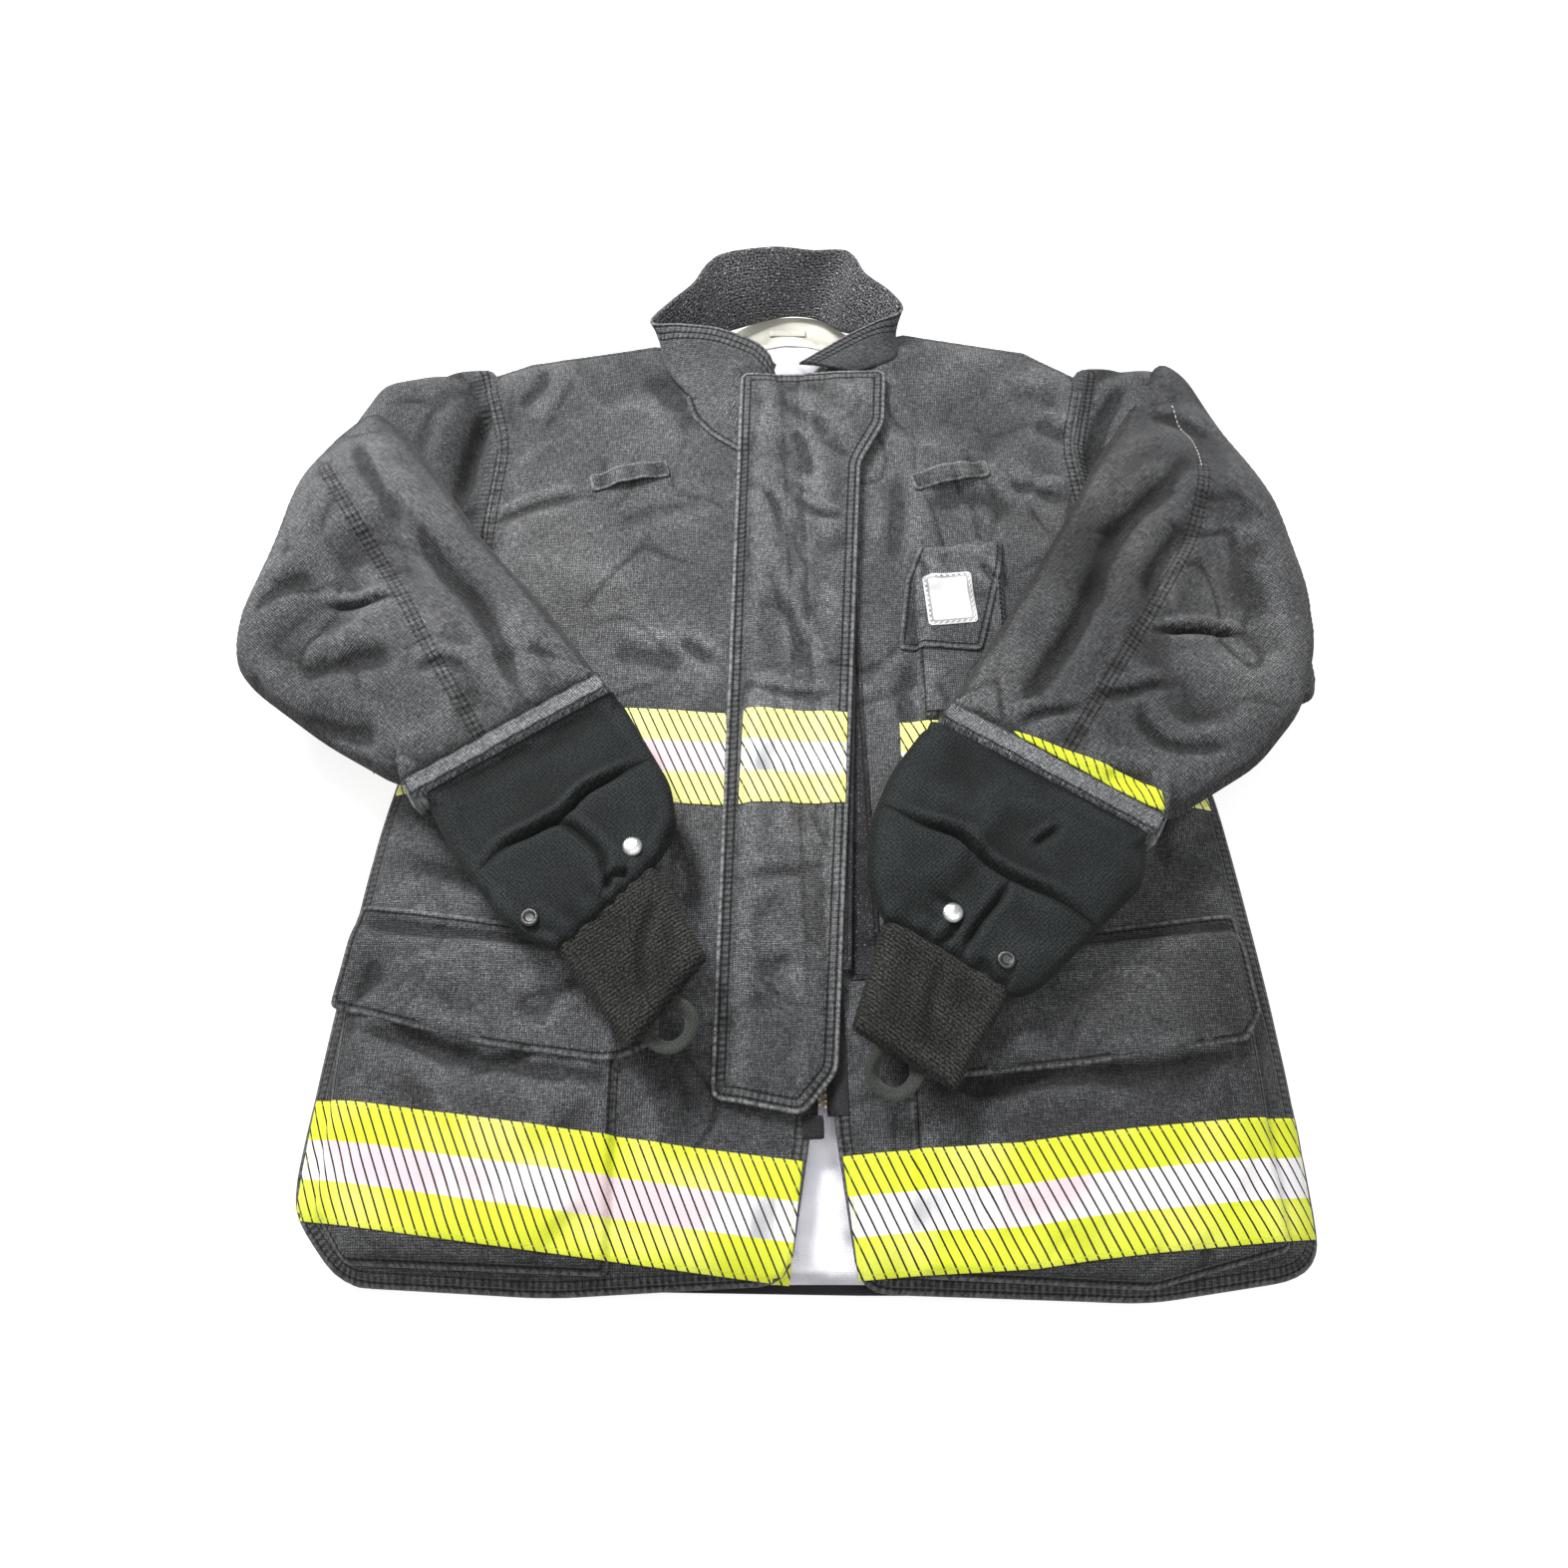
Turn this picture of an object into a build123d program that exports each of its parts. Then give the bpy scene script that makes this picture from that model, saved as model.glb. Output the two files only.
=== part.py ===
from build123d import *
import os
from math import cos, hypot, radians, sin

# Structural firefighter's turnout coat, laid on its back with its front up and both sleeves folded in.
# Millimetres. +Z is up from the floor, +Y runs towards the collar, +X towards the wearer's left arm.
# The origin is on the floor, under the middle of the coat. "right" and "left" are the wearer's.

os.makedirs("parts", exist_ok=True)

# ---------------------------------------------------------------- driving dimensions
SHELL = 3.0              # thickness of the outer shell with its seams
BARRIER = 1.0            # moisture barrier
QUILT = 4.0              # thermal liner
GAP = 0.3                # clearance between neighbouring pieces
TRIM_WIDTH = 76.0        # reflective trim, three inches
TRIM = 1.0               # thickness of the reflective trim
WEBBING = 2.0            # thickness of a woven strap
SEAM_Z = 20.0            # height of the side seam, where back and front meet
FRONT_Z = 38.0           # top of the front panels
FLAP_Z = 46.0            # underside of the storm flap
POCKET_HEIGHT = 9.6      # cargo pocket, bellows folded flat
RADIO_HEIGHT = 7.8       # radio pocket
FOREARM_Z = 56.0         # underside of the folded forearms
FOREARM_TOP = 96.0       # top of the folded forearms
UPPER_Z = 6.0            # underside of the upper sleeves
UPPER_TOP = 52.0         # top of the upper sleeves
COLLAR_TOP = 72.0        # top edge of the standing collar
ELBOW_PORT = 42.0        # radius of the way through from upper sleeve to forearm
MOUTH_REACH = 14.0       # how far a tube's open end is cut to either side of its edge
LINING_INSET = SHELL + 1 # from a panel's edge to its inner layers

# ---------------------------------------------------------------- outlines, seen from above
ZIP_TOP = (4.0, 296.0)
ZIP_FOOT = (26.0, -318.0)
ZIP_HALF = 9.0           # from the middle of the zipper to the edge of a front panel

RIGHT_SIDE = [(-262, 316), (-239, 235), (-246, 135), (-272, 20), (-300, -124), (-318, -310), (-321, -377),
              (-282, -422)]
LEFT_SIDE = [(262, 314), (243, 235), (252, 150), (290, 30), (322, -84), (340, -250), (345, -330), (346, -400),
             (330, -418)]
RIGHT_FRONT = [(ZIP_TOP[0] - ZIP_HALF, 299), (-52, 345), (-115, 352), (-222, 332), *RIGHT_SIDE, (-150, -429), (2, -421),
               (ZIP_FOOT[0] - ZIP_HALF, -324)]
LEFT_FRONT = [(ZIP_FOOT[0] + ZIP_HALF, -324), (49, -426), (233, -432), *reversed(LEFT_SIDE), (212, 345), (106, 366),
              (58, 350), (ZIP_TOP[0] + ZIP_HALF, 299)]
BACK = [(-150, -429), (49, -432), (233, -432), *reversed(LEFT_SIDE), (212, 345), (106, 366), (66, 380), (46, 394),
        (-40, 394), (-60, 378), (-115, 352), (-222, 332), *RIGHT_SIDE]

STORM_FLAP = [(-22, 303), (86, 305), (83, 250), (62, 209), (46, -93), (35, -290), (12, -318), (-48, -306)]
STORM_HINGE = [(-22, 303), (-48, -306)]

# One entry per sleeve. The upper sleeve lies beside the body, and the forearm lies on top, folded in at the elbow.
# The fold is the part of the upper sleeve that doubles over beside the forearm, clear of the elbow's turn.
SLEEVES = {
    "right": {
        "upper": [(-264, 314), (-350, 300), (-392, 170), (-408, 40), (-390, 2), (-318, 2), (-249, 132), (-242, 235)],
        "armhole": [(-242, 235), (-249, 132)],
        "armhole_top": [(-264, 314), (-242, 235)],
        "fold": [(-334, 258), (-356, 250), (-387, 200), (-345, 207), (-284, 191)],
        "forearm": [(-288, 184), (-252, 150), (-182, 52), (-134, -10), (-269, -97), (-330, -62), (-398, -12),
                    (-415, 28), (-394, 152), (-384, 191), (-345, 199)],
        "cuff": [(-134, -10), (-269, -97)],
        "binding": [(-133, -11), (-269, -98), (-259, -114), (-123, -27)],
        "well": [(-126, -29), (-254, -112), (-186, -196), (-154, -214), (-88, -152), (-80, -122)],
        "well_foot": [(-154, -214), (-88, -152)],
        "wristlet": [(-153, -216), (-87, -154), (-51, -220), (-100, -282)],
        "wrist": [(-51, -220), (-100, -282)],
        "thumb_loop": (-75, -268),
        "snaps": [(-110, -146), (-172, -184)],
        "elbow": (-345, 85),
        "trim_under": [(-150, 12), (-168, 36), (-318, -48), (-300, -80)],
        "trim_over": [],
    },
    "left": {
        "upper": [(264, 312), (322, 324), (358, 252), (404, 60), (396, 2), (330, 2), (256, 146), (247, 235)],
        "armhole": [(247, 235), (256, 146)],
        "armhole_top": [(264, 312), (247, 235)],
        "fold": [(320, 324), (352, 262), (371, 205), (345, 207), (306, 201), (284, 191), (253, 186)],
        "forearm": [(288, 184), (240, 160), (150, 20), (119, -33), (266, -124), (340, -78), (402, -8),
                    (415, 26), (388, 150), (374, 194), (345, 199)],
        "cuff": [(119, -33), (266, -124)],
        "binding": [(118, -34), (266, -125), (256, -142), (108, -51)],
        "well": [(110, -54), (250, -141), (238, -166), (150, -246), (66, -194), (68, -150)],
        "well_foot": [(150, -246), (66, -194)],
        "wristlet": [(149, -248), (65, -196), (44, -268), (110, -308)],
        "wrist": [(110, -308), (44, -268)],
        "thumb_loop": (71, -298),
        "snaps": [(113, -194), (144, -222)],
        "elbow": (345, 85),
        "trim_under": [(140, 0), (162, 32), (322, -62), (300, -100)],
        "trim_over": [(170, -48), (252, -98), (262, -116)],
    },
}

POCKETS = {
    "right": {
        "pocket": [(-303, -190), (-113, -207), (-112, -417), (-280, -410), (-303, -378)],
        "mouth": [(-303, -190), (-113, -207)],
        "flap": [(-300, -172), (-88, -200), (-86, -270), (-116, -284), (-200, -273), (-309, -246)],
        "hinge": [(-300, -172), (-88, -200)],
    },
    "left": {
        "pocket": [(318, -192), (84, -214), (86, -418), (233, -425), (322, -402)],
        "mouth": [(84, -214), (318, -192)],
        "flap": [(92, -207), (318, -180), (324, -250), (310, -270), (200, -286), (94, -296)],
        "hinge": [(92, -207), (318, -180)],
    },
}

RADIO_POCKET = [(103, 126), (174, 133), (174, -22), (104, -25)]
RADIO_FLAP = [(110, 128), (176, 136), (172, 108), (152, 32), (90, 36), (98, 98)]


# ---------------------------------------------------------------- shared shapes
def keep(piece, name):
    """Labels a finished piece and writes it as its own STEP file."""
    piece.part.label = name
    export_step(piece.part, f"parts/{name}.step")


def along(start, end, distance, side=0.0):
    """The point at a distance from start towards end, moved sideways to the left of that direction."""
    length = hypot(end[0] - start[0], end[1] - start[1])
    ux = (end[0] - start[0]) / length
    uy = (end[1] - start[1]) / length
    return (start[0] + ux * distance - uy * side, start[1] + uy * distance + ux * side)


def strip(start, end, near, far, inset=0.0):
    """A four-sided outline along the line from start to end, between two sideways distances from it."""
    length = hypot(end[0] - start[0], end[1] - start[1])
    return [along(start, end, inset, near), along(start, end, length - inset, near),
            along(start, end, length - inset, far), along(start, end, inset, far)]


def plate(name, outlines, bottom, thickness, corner=0.0):
    """One or more flat pieces of fabric at one height, each of them an outline."""
    with BuildPart() as piece:
        for outline in outlines:
            with BuildSketch(Plane.XY.offset(bottom)) as sketch:
                Polygon(*outline, align=None)
                if corner:
                    fillet(sketch.vertices(), corner)
            extrude(amount=thickness)
    keep(piece, name)


def seamed_panel(name, outline, plate_z, seam_z, open_ends, inset=0.0, ply=SHELL, recesses=()):
    """A body panel: a flat ply with a rim at its sides and shoulders that reaches the side seam."""
    upright = seam_z > plate_z
    low = plate_z if upright else seam_z
    high = seam_z if upright else plate_z + ply
    with BuildPart() as piece:
        with BuildSketch(Plane.XY.offset(low)):
            Polygon(*outline, align=None)
            if inset:
                offset(amount=-inset, kind=Kind.INTERSECTION, mode=Mode.REPLACE)
        extrude(amount=high - low)
        with BuildSketch(Plane.XY.offset(plate_z + ply if upright else seam_z)):
            Polygon(*outline, align=None)
            offset(amount=-inset - ply, kind=Kind.INTERSECTION, mode=Mode.REPLACE)
            for end in open_ends:
                Polygon(*end, align=None)
        extrude(amount=high - low - ply, mode=Mode.SUBTRACT)
        for recess in recesses:
            with BuildSketch(Plane.XY.offset(plate_z)):
                Polygon(*recess, align=None)
                offset(amount=GAP, kind=Kind.INTERSECTION, mode=Mode.REPLACE)
            extrude(amount=TRIM + GAP, mode=Mode.SUBTRACT)
    keep(piece, name)


def flat_tube(name, outline, bottom, top, ply, mouths, inset=0.0, port=None, port_side=0, fold=None):
    """A soft tube lying flat: two plies joined at their edges, open at its mouths and at a round port.

    A fold is an outline where the tube's cloth is doubled over on top, up to the top of the forearms."""
    with BuildPart() as piece:
        with BuildSketch(Plane.XY.offset(bottom + inset)):
            Polygon(*outline, align=None)
            if inset:
                offset(amount=-inset, kind=Kind.INTERSECTION, mode=Mode.REPLACE)
        extrude(amount=top - bottom - 2 * inset)
        with BuildSketch(Plane.XY.offset(bottom + inset + ply)):
            Polygon(*outline, align=None)
            offset(amount=-inset - ply, kind=Kind.INTERSECTION, mode=Mode.REPLACE)
            for start, end in mouths:
                Polygon(*strip(start, end, -MOUTH_REACH, MOUTH_REACH, inset + ply + 1), align=None)
        extrude(amount=top - bottom - 2 * inset - 2 * ply, mode=Mode.SUBTRACT)
        if port:
            port_z = top if port_side > 0 else bottom
            with Locations((port[0], port[1], port_z)):
                Cylinder(radius=ELBOW_PORT, height=4 * (ply + inset), mode=Mode.SUBTRACT)
        if fold:
            with BuildSketch(Plane.XY.offset(top)):
                Polygon(*fold, align=None)
            extrude(amount=FOREARM_TOP - top)
    keep(piece, name)


# ---------------------------------------------------------------- body: back, fronts and their liners
HEM_MOUTH = [(-270, -445), (322, -445), (322, -400), (-270, -400)]
NECK_MOUTH = [(-76, 300), (82, 300), (82, 400), (-76, 400)]
RIGHT_ARMHOLE = [(-280, 142), (-225, 142), (-225, 300), (-280, 300)]
LEFT_ARMHOLE = [(280, 156), (225, 156), (225, 300), (280, 300)]
RIGHT_CENTRE = [(-30, -440), (30, -440), (30, 310), (-60, 310)]
LEFT_CENTRE = [(0, -440), (60, -440), (64, 310), (0, 310)]


def chest_line(x):
    """Height up the coat of the chest trim's top edge."""
    return -14 - 0.05 * (x + 150) if x < 60 else -28 + 0.03 * (x - 60)


def hem_line(x):
    """Height up the coat of the hem trim's top edge, which dips towards the front opening."""
    return -307 - 0.123 * (x + 317) if x < 26 else -345 + 0.085 * (x - 33)


def trim_band(first_x, last_x, top_edge):
    """The outline of a length of trim whose top edge follows a line."""
    return [(first_x, top_edge(first_x)), (last_x, top_edge(last_x)),
            (last_x, top_edge(last_x) - TRIM_WIDTH), (first_x, top_edge(first_x) - TRIM_WIDTH)]


BACK_CHEST = [(-292, -12), (302, -12), (320, -12 - TRIM_WIDTH), (-294, -12 - TRIM_WIDTH)]
BACK_HEM = [(-312, -320), (338, -320), (338, -320 - TRIM_WIDTH), (-300, -320 - TRIM_WIDTH)]

seamed_panel("back_shell", BACK, 0, SEAM_Z - GAP, [HEM_MOUTH, NECK_MOUTH, RIGHT_ARMHOLE, LEFT_ARMHOLE],
             recesses=[BACK_CHEST, BACK_HEM])
plate("back_trim", [BACK_CHEST, BACK_HEM], 0, TRIM)


def lining(name, outline, bottom, thickness, side_clearance):
    """An inner layer, the panel's own outline brought in from its seams."""
    with BuildPart() as piece:
        with BuildSketch(Plane.XY.offset(bottom)):
            Polygon(*outline, align=None)
            offset(amount=-side_clearance, kind=Kind.INTERSECTION, mode=Mode.REPLACE)
        extrude(amount=thickness)
    keep(piece, name)


BARRIER_Z = SHELL + GAP
QUILT_Z = BARRIER_Z + BARRIER + GAP
FRONT_LINER_Z = FRONT_Z - SHELL - GAP - QUILT
lining("back_moisture_barrier", BACK, BARRIER_Z, BARRIER, LINING_INSET)
lining("back_thermal_liner", BACK, QUILT_Z, QUILT, LINING_INSET)
seamed_panel("right_front_shell", RIGHT_FRONT, FRONT_Z - SHELL, SEAM_Z, [HEM_MOUTH, RIGHT_ARMHOLE, RIGHT_CENTRE])
seamed_panel("left_front_shell", LEFT_FRONT, FRONT_Z - SHELL, SEAM_Z, [HEM_MOUTH, LEFT_ARMHOLE, LEFT_CENTRE])
lining("right_front_liner", RIGHT_FRONT, FRONT_LINER_Z, QUILT, LINING_INSET)
lining("left_front_liner", LEFT_FRONT, FRONT_LINER_Z, QUILT, LINING_INSET)

# ---------------------------------------------------------------- collar
COLLAR_BASE = (2, 346)
COLLAR_BASE_SIZE = (64, 52)
COLLAR_RIM = (-4, 350)
COLLAR_RIM_SIZE = (108, 82)
COLLAR_FOOT_Z = QUILT_Z + QUILT + GAP
COLLAR_FRONT_Y = 312     # the collar is open at the throat, below this line
COLLAR_STEP_Y = 371      # in front of this line the collar stands on the front panels
COLLAR_SHELL = 4.5       # thickness of the collar's outer layer
COLLAR_LINING = 4.0      # thickness of its wool-like inner layer
CUT = 400.0              # wider than the collar
THROAT_SIDE = (Align.CENTER, Align.MAX, Align.CENTER)


def collar_layer(name, outer, thickness):
    """One layer of the standing collar: a flared ring, open at the throat, taller behind the neck."""
    with BuildPart() as piece:
        for inset, mode in ((outer, Mode.ADD), (outer + thickness, Mode.SUBTRACT)):
            with BuildSketch(Plane.XY.offset(COLLAR_FOOT_Z)):
                with Locations(COLLAR_BASE):
                    Ellipse(COLLAR_BASE_SIZE[0] - inset, COLLAR_BASE_SIZE[1] - inset)
            with BuildSketch(Plane.XY.offset(COLLAR_TOP)):
                with Locations(COLLAR_RIM):
                    Ellipse(COLLAR_RIM_SIZE[0] - inset, COLLAR_RIM_SIZE[1] - inset)
            loft(mode=mode)
        with Locations((0, COLLAR_FRONT_Y, COLLAR_TOP / 2)):
            Box(CUT, CUT, 2 * COLLAR_TOP, align=THROAT_SIDE, mode=Mode.SUBTRACT)
        with Locations((0, COLLAR_STEP_Y, 0)):
            Box(CUT, CUT, 2 * (FRONT_Z + GAP), align=THROAT_SIDE, mode=Mode.SUBTRACT)
    keep(piece, name)


collar_layer("collar_shell", 0, COLLAR_SHELL)
collar_layer("collar_lining", COLLAR_SHELL + GAP, COLLAR_LINING)
plate("throat_tab", [[(-76, 284), (-60, 304), (-32, 298), (-30, 246), (-42, 242)]], FRONT_Z + GAP, WEBBING, 3)

HANGER_PLACE = (3, 384, 32)
HANGER_SIZE = (34, 16)
HANGER_TAPE = 3.0        # thickness of the loop's doubled tape
HANGER_WIDTH = 6.0
with BuildPart() as hanger_loop:
    with BuildSketch(Plane.XZ.offset(-HANGER_PLACE[1])):
        with Locations((HANGER_PLACE[0], HANGER_PLACE[2])):
            SlotOverall(*HANGER_SIZE)
            SlotOverall(HANGER_SIZE[0] - 2 * HANGER_TAPE, HANGER_SIZE[1] - 2 * HANGER_TAPE, mode=Mode.SUBTRACT)
    extrude(amount=HANGER_WIDTH)
keep(hanger_loop, "hanger_loop")

# ---------------------------------------------------------------- front closure
ZIP_LENGTH = hypot(ZIP_FOOT[0] - ZIP_TOP[0], ZIP_FOOT[1] - ZIP_TOP[1])
TEETH_HALF = 3.2         # from the middle of the zipper to the tape
TEETH_LOW = 36.8
TEETH_HIGH = 40.8
TEETH_SLIT = 0.8         # half of the slit that the slider's post runs in
TAPE_WIDTH = 14.0
SLIDER_LENGTH = 20.0

plate("right_zipper_tape", [strip(ZIP_TOP, ZIP_FOOT, -TEETH_HALF - GAP, -TEETH_HALF - TAPE_WIDTH)],
      FRONT_Z + GAP, 1.0)
plate("left_zipper_tape", [strip(ZIP_TOP, ZIP_FOOT, TEETH_HALF + GAP, TEETH_HALF + TAPE_WIDTH)], FRONT_Z + GAP, 1.0)
plate("right_zipper_teeth", [strip(ZIP_TOP, ZIP_FOOT, -TEETH_SLIT, -TEETH_HALF, 2)], TEETH_LOW,
      TEETH_HIGH - TEETH_LOW)
plate("left_zipper_teeth", [strip(ZIP_TOP, ZIP_FOOT, TEETH_SLIT, TEETH_HALF, 2)], TEETH_LOW, TEETH_HIGH - TEETH_LOW)
plate("zipper_end_tab", [strip(along(ZIP_TOP, ZIP_FOOT, ZIP_LENGTH + 1), along(ZIP_TOP, ZIP_FOOT, ZIP_LENGTH + 14),
                               -13, -1)], FRONT_Z + GAP, 2.5)

SLIDER_HALF = 7.0
SLIDER_PLATE = 1.4
slider_start = along(ZIP_TOP, ZIP_FOOT, 4)
slider_end = along(ZIP_TOP, ZIP_FOOT, 4 + SLIDER_LENGTH)
with BuildPart() as zipper_slider:
    for slider_z in (TEETH_LOW - GAP - SLIDER_PLATE, TEETH_HIGH + GAP):
        with BuildSketch(Plane.XY.offset(slider_z)):
            Polygon(*strip(slider_start, slider_end, -SLIDER_HALF, SLIDER_HALF), align=None)
        extrude(amount=SLIDER_PLATE)
    with BuildSketch(Plane.XY.offset(TEETH_LOW - GAP - SLIDER_PLATE)):
        Polygon(*strip(slider_start, along(ZIP_TOP, ZIP_FOOT, 12), -0.5, 0.5), align=None)
    extrude(amount=TEETH_HIGH - TEETH_LOW + 2 * GAP + 2 * SLIDER_PLATE)
keep(zipper_slider, "zipper_slider")
plate("zipper_pull", [strip(along(ZIP_TOP, ZIP_FOOT, 14), along(ZIP_TOP, ZIP_FOOT, 50), -4.5, 4.5)],
      TEETH_HIGH + 2 * GAP + SLIDER_PLATE, 1.6, 2)

plate("closure_loop_strip", [[(40, 209), (86, 209), (68, -226), (46, -226)]], FRONT_Z + GAP, 1.8)
plate("storm_flap", [STORM_FLAP], FLAP_Z, SHELL, 4)
FLAP_TRIM_TOP = -20
storm_trim = [(-34, FLAP_TRIM_TOP), (47, FLAP_TRIM_TOP - 4), (44, FLAP_TRIM_TOP - TRIM_WIDTH),
              (-37, FLAP_TRIM_TOP - TRIM_WIDTH)]
plate("storm_flap_trim", [storm_trim], FLAP_Z + SHELL + GAP, TRIM)
plate("storm_flap_hook_strip", [[(42, 200), (60, 200), (46, -220), (31, -220)]], FLAP_Z - GAP - 1.8, 1.8)

# ---------------------------------------------------------------- reflective trim on the fronts
ON_SHELL = FRONT_Z + GAP
ON_POCKET = FRONT_Z + GAP + POCKET_HEIGHT + GAP


def front_trim(name, chest_span, shell_span, pocket_span):
    """The trim of one front: chest band, hem band on the shell, and hem band over the cargo pocket."""
    with BuildPart() as piece:
        for span, line, bottom in ((chest_span, chest_line, ON_SHELL), (shell_span, hem_line, ON_SHELL),
                                   (pocket_span, hem_line, ON_POCKET)):
            with BuildSketch(Plane.XY.offset(bottom)):
                Polygon(*trim_band(*span, line), align=None)
            extrude(amount=TRIM)
    keep(piece, name)


front_trim("right_front_trim", (-288, -14), (-110, 4), (-301, -114))
front_trim("left_front_trim", (88, 312), (44, 82), (88, 319))

# ---------------------------------------------------------------- pockets, their flaps and their fasteners
HOOK = 1.0               # thickness of a hook or loop patch
for side, pocket in POCKETS.items():
    flat_tube(f"{side}_cargo_pocket", pocket["pocket"], ON_SHELL, ON_SHELL + POCKET_HEIGHT, 1.6, [pocket["mouth"]])
    plate(f"{side}_pocket_flap", [pocket["flap"]], ON_POCKET + TRIM + GAP, SHELL, 5)
flat_tube("radio_pocket", RADIO_POCKET, ON_SHELL, ON_SHELL + RADIO_HEIGHT, 1.2, [RADIO_POCKET[:2]])
RADIO_FLAP_Z = ON_SHELL + RADIO_HEIGHT + GAP
plate("radio_pocket_flap", [RADIO_FLAP], RADIO_FLAP_Z, 2.4, 3)
LABEL_SIZE = (38, 46)
with BuildPart() as label_patch:
    with BuildSketch(Plane((130, 76, RADIO_FLAP_Z + 2.4 + GAP), x_dir=(cos(radians(4)), sin(radians(4)), 0))):
        RectangleRounded(*LABEL_SIZE, 3)
    extrude(amount=0.8)
keep(label_patch, "label_patch")

# ---------------------------------------------------------------- microphone tabs
TAB_LENGTH = 64
TAB_DEPTH = 15
TAB_RISE = 8.4
TAB_SEWN = 9             # length sewn down at each end
for side, centre, turn in (("right", (-128, 201), 14), ("left", (138, 201), 14)):
    tab_plane = Plane((centre[0], centre[1], ON_SHELL), x_dir=(cos(radians(turn)), sin(radians(turn)), 0))
    with BuildPart(tab_plane) as mic_tab:
        Box(TAB_LENGTH, TAB_DEPTH, TAB_RISE, align=(Align.CENTER, Align.CENTER, Align.MIN))
        Box(TAB_LENGTH - 2 * TAB_SEWN, TAB_DEPTH, TAB_RISE - WEBBING, align=(Align.CENTER, Align.CENTER, Align.MIN),
            mode=Mode.SUBTRACT)
        fillet(mic_tab.edges().filter_by(Axis((0, 0, 0), tab_plane.y_dir)).group_by(Axis.Z)[-1], 1.5)
    keep(mic_tab, f"{side}_mic_tab")

# ---------------------------------------------------------------- sleeves
LINER_INSET = SHELL + GAP
WELL_Z = (66.0, 90.0)
WRISTLET_Z = (64.0, 82.0)
THUMB_LOOP_RADIUS = 15
THUMB_LOOP_Z = 68.0
THUMB_LOOP_WIDTH = 8.0
SNAP_BASE = (6.0, 1.2)   # radius and height of a snap's flange
SNAP_CAP = (4.2, 1.2)    # radius and height of its cap
for side, sleeve in SLEEVES.items():
    armhole = [sleeve["armhole"], sleeve["armhole_top"]]
    cuff = [sleeve["cuff"]]
    flat_tube(f"{side}_upper_sleeve", sleeve["upper"], UPPER_Z, UPPER_TOP, SHELL, armhole, 0, sleeve["elbow"], 1,
              sleeve["fold"])
    flat_tube(f"{side}_upper_sleeve_liner", sleeve["upper"], UPPER_Z, UPPER_TOP, QUILT, armhole, LINER_INSET,
              sleeve["elbow"], 1)
    flat_tube(f"{side}_forearm", sleeve["forearm"], FOREARM_Z, FOREARM_TOP, SHELL, cuff, 0, sleeve["elbow"], -1)
    flat_tube(f"{side}_forearm_liner", sleeve["forearm"], FOREARM_Z, FOREARM_TOP, QUILT, cuff, LINER_INSET,
              sleeve["elbow"], -1)
    binding = sleeve["binding"]
    flat_tube(f"{side}_cuff_binding", binding, FOREARM_Z + 2, FOREARM_TOP - 2, 2.5,
              [(binding[0], binding[1]), (binding[2], binding[3])])
    well = sleeve["well"]
    flat_tube(f"{side}_water_well", well, *WELL_Z, 1.5, [(well[0], well[1]), sleeve["well_foot"]])
    wristlet = sleeve["wristlet"]
    flat_tube(f"{side}_wristlet", wristlet, *WRISTLET_Z, 3.0, [(wristlet[0], wristlet[1]), sleeve["wrist"]])

    with BuildPart() as thumb_loop:
        with BuildSketch(Plane.XY.offset(THUMB_LOOP_Z)):
            with Locations(sleeve["thumb_loop"]):
                Circle(THUMB_LOOP_RADIUS)
                Circle(THUMB_LOOP_RADIUS - WEBBING, mode=Mode.SUBTRACT)
            Polygon(*strip(*sleeve["wrist"], -60, GAP, -40), align=None, mode=Mode.SUBTRACT)
        extrude(amount=THUMB_LOOP_WIDTH)
    keep(thumb_loop, f"{side}_thumb_loop")

    with BuildPart() as cuff_snaps:
        for snap in sleeve["snaps"]:
            with BuildSketch(Plane.XY.offset(WELL_Z[1] + GAP)):
                with Locations(snap):
                    Circle(SNAP_BASE[0])
            extrude(amount=SNAP_BASE[1])
            with BuildSketch(Plane.XY.offset(WELL_Z[1] + GAP + SNAP_BASE[1])):
                with Locations(snap):
                    Circle(SNAP_CAP[0])
            extrude(amount=SNAP_CAP[1])
    keep(cuff_snaps, f"{side}_cuff_snaps")

    with BuildPart() as sleeve_trim:
        with BuildSketch(Plane.XY.offset(FOREARM_Z - GAP - TRIM)):
            Polygon(*sleeve["trim_under"], align=None)
        extrude(amount=TRIM)
        if sleeve["trim_over"]:
            with BuildSketch(Plane.XY.offset(FOREARM_TOP + GAP)):
                Polygon(*sleeve["trim_over"], align=None)
            extrude(amount=TRIM)
    keep(sleeve_trim, f"{side}_sleeve_trim")
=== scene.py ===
import math
from collections import defaultdict

import bpy
import numpy as np
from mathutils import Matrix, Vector
from mathutils.bvhtree import BVHTree
from mathutils.geometry import delaunay_2d_cdt


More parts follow.
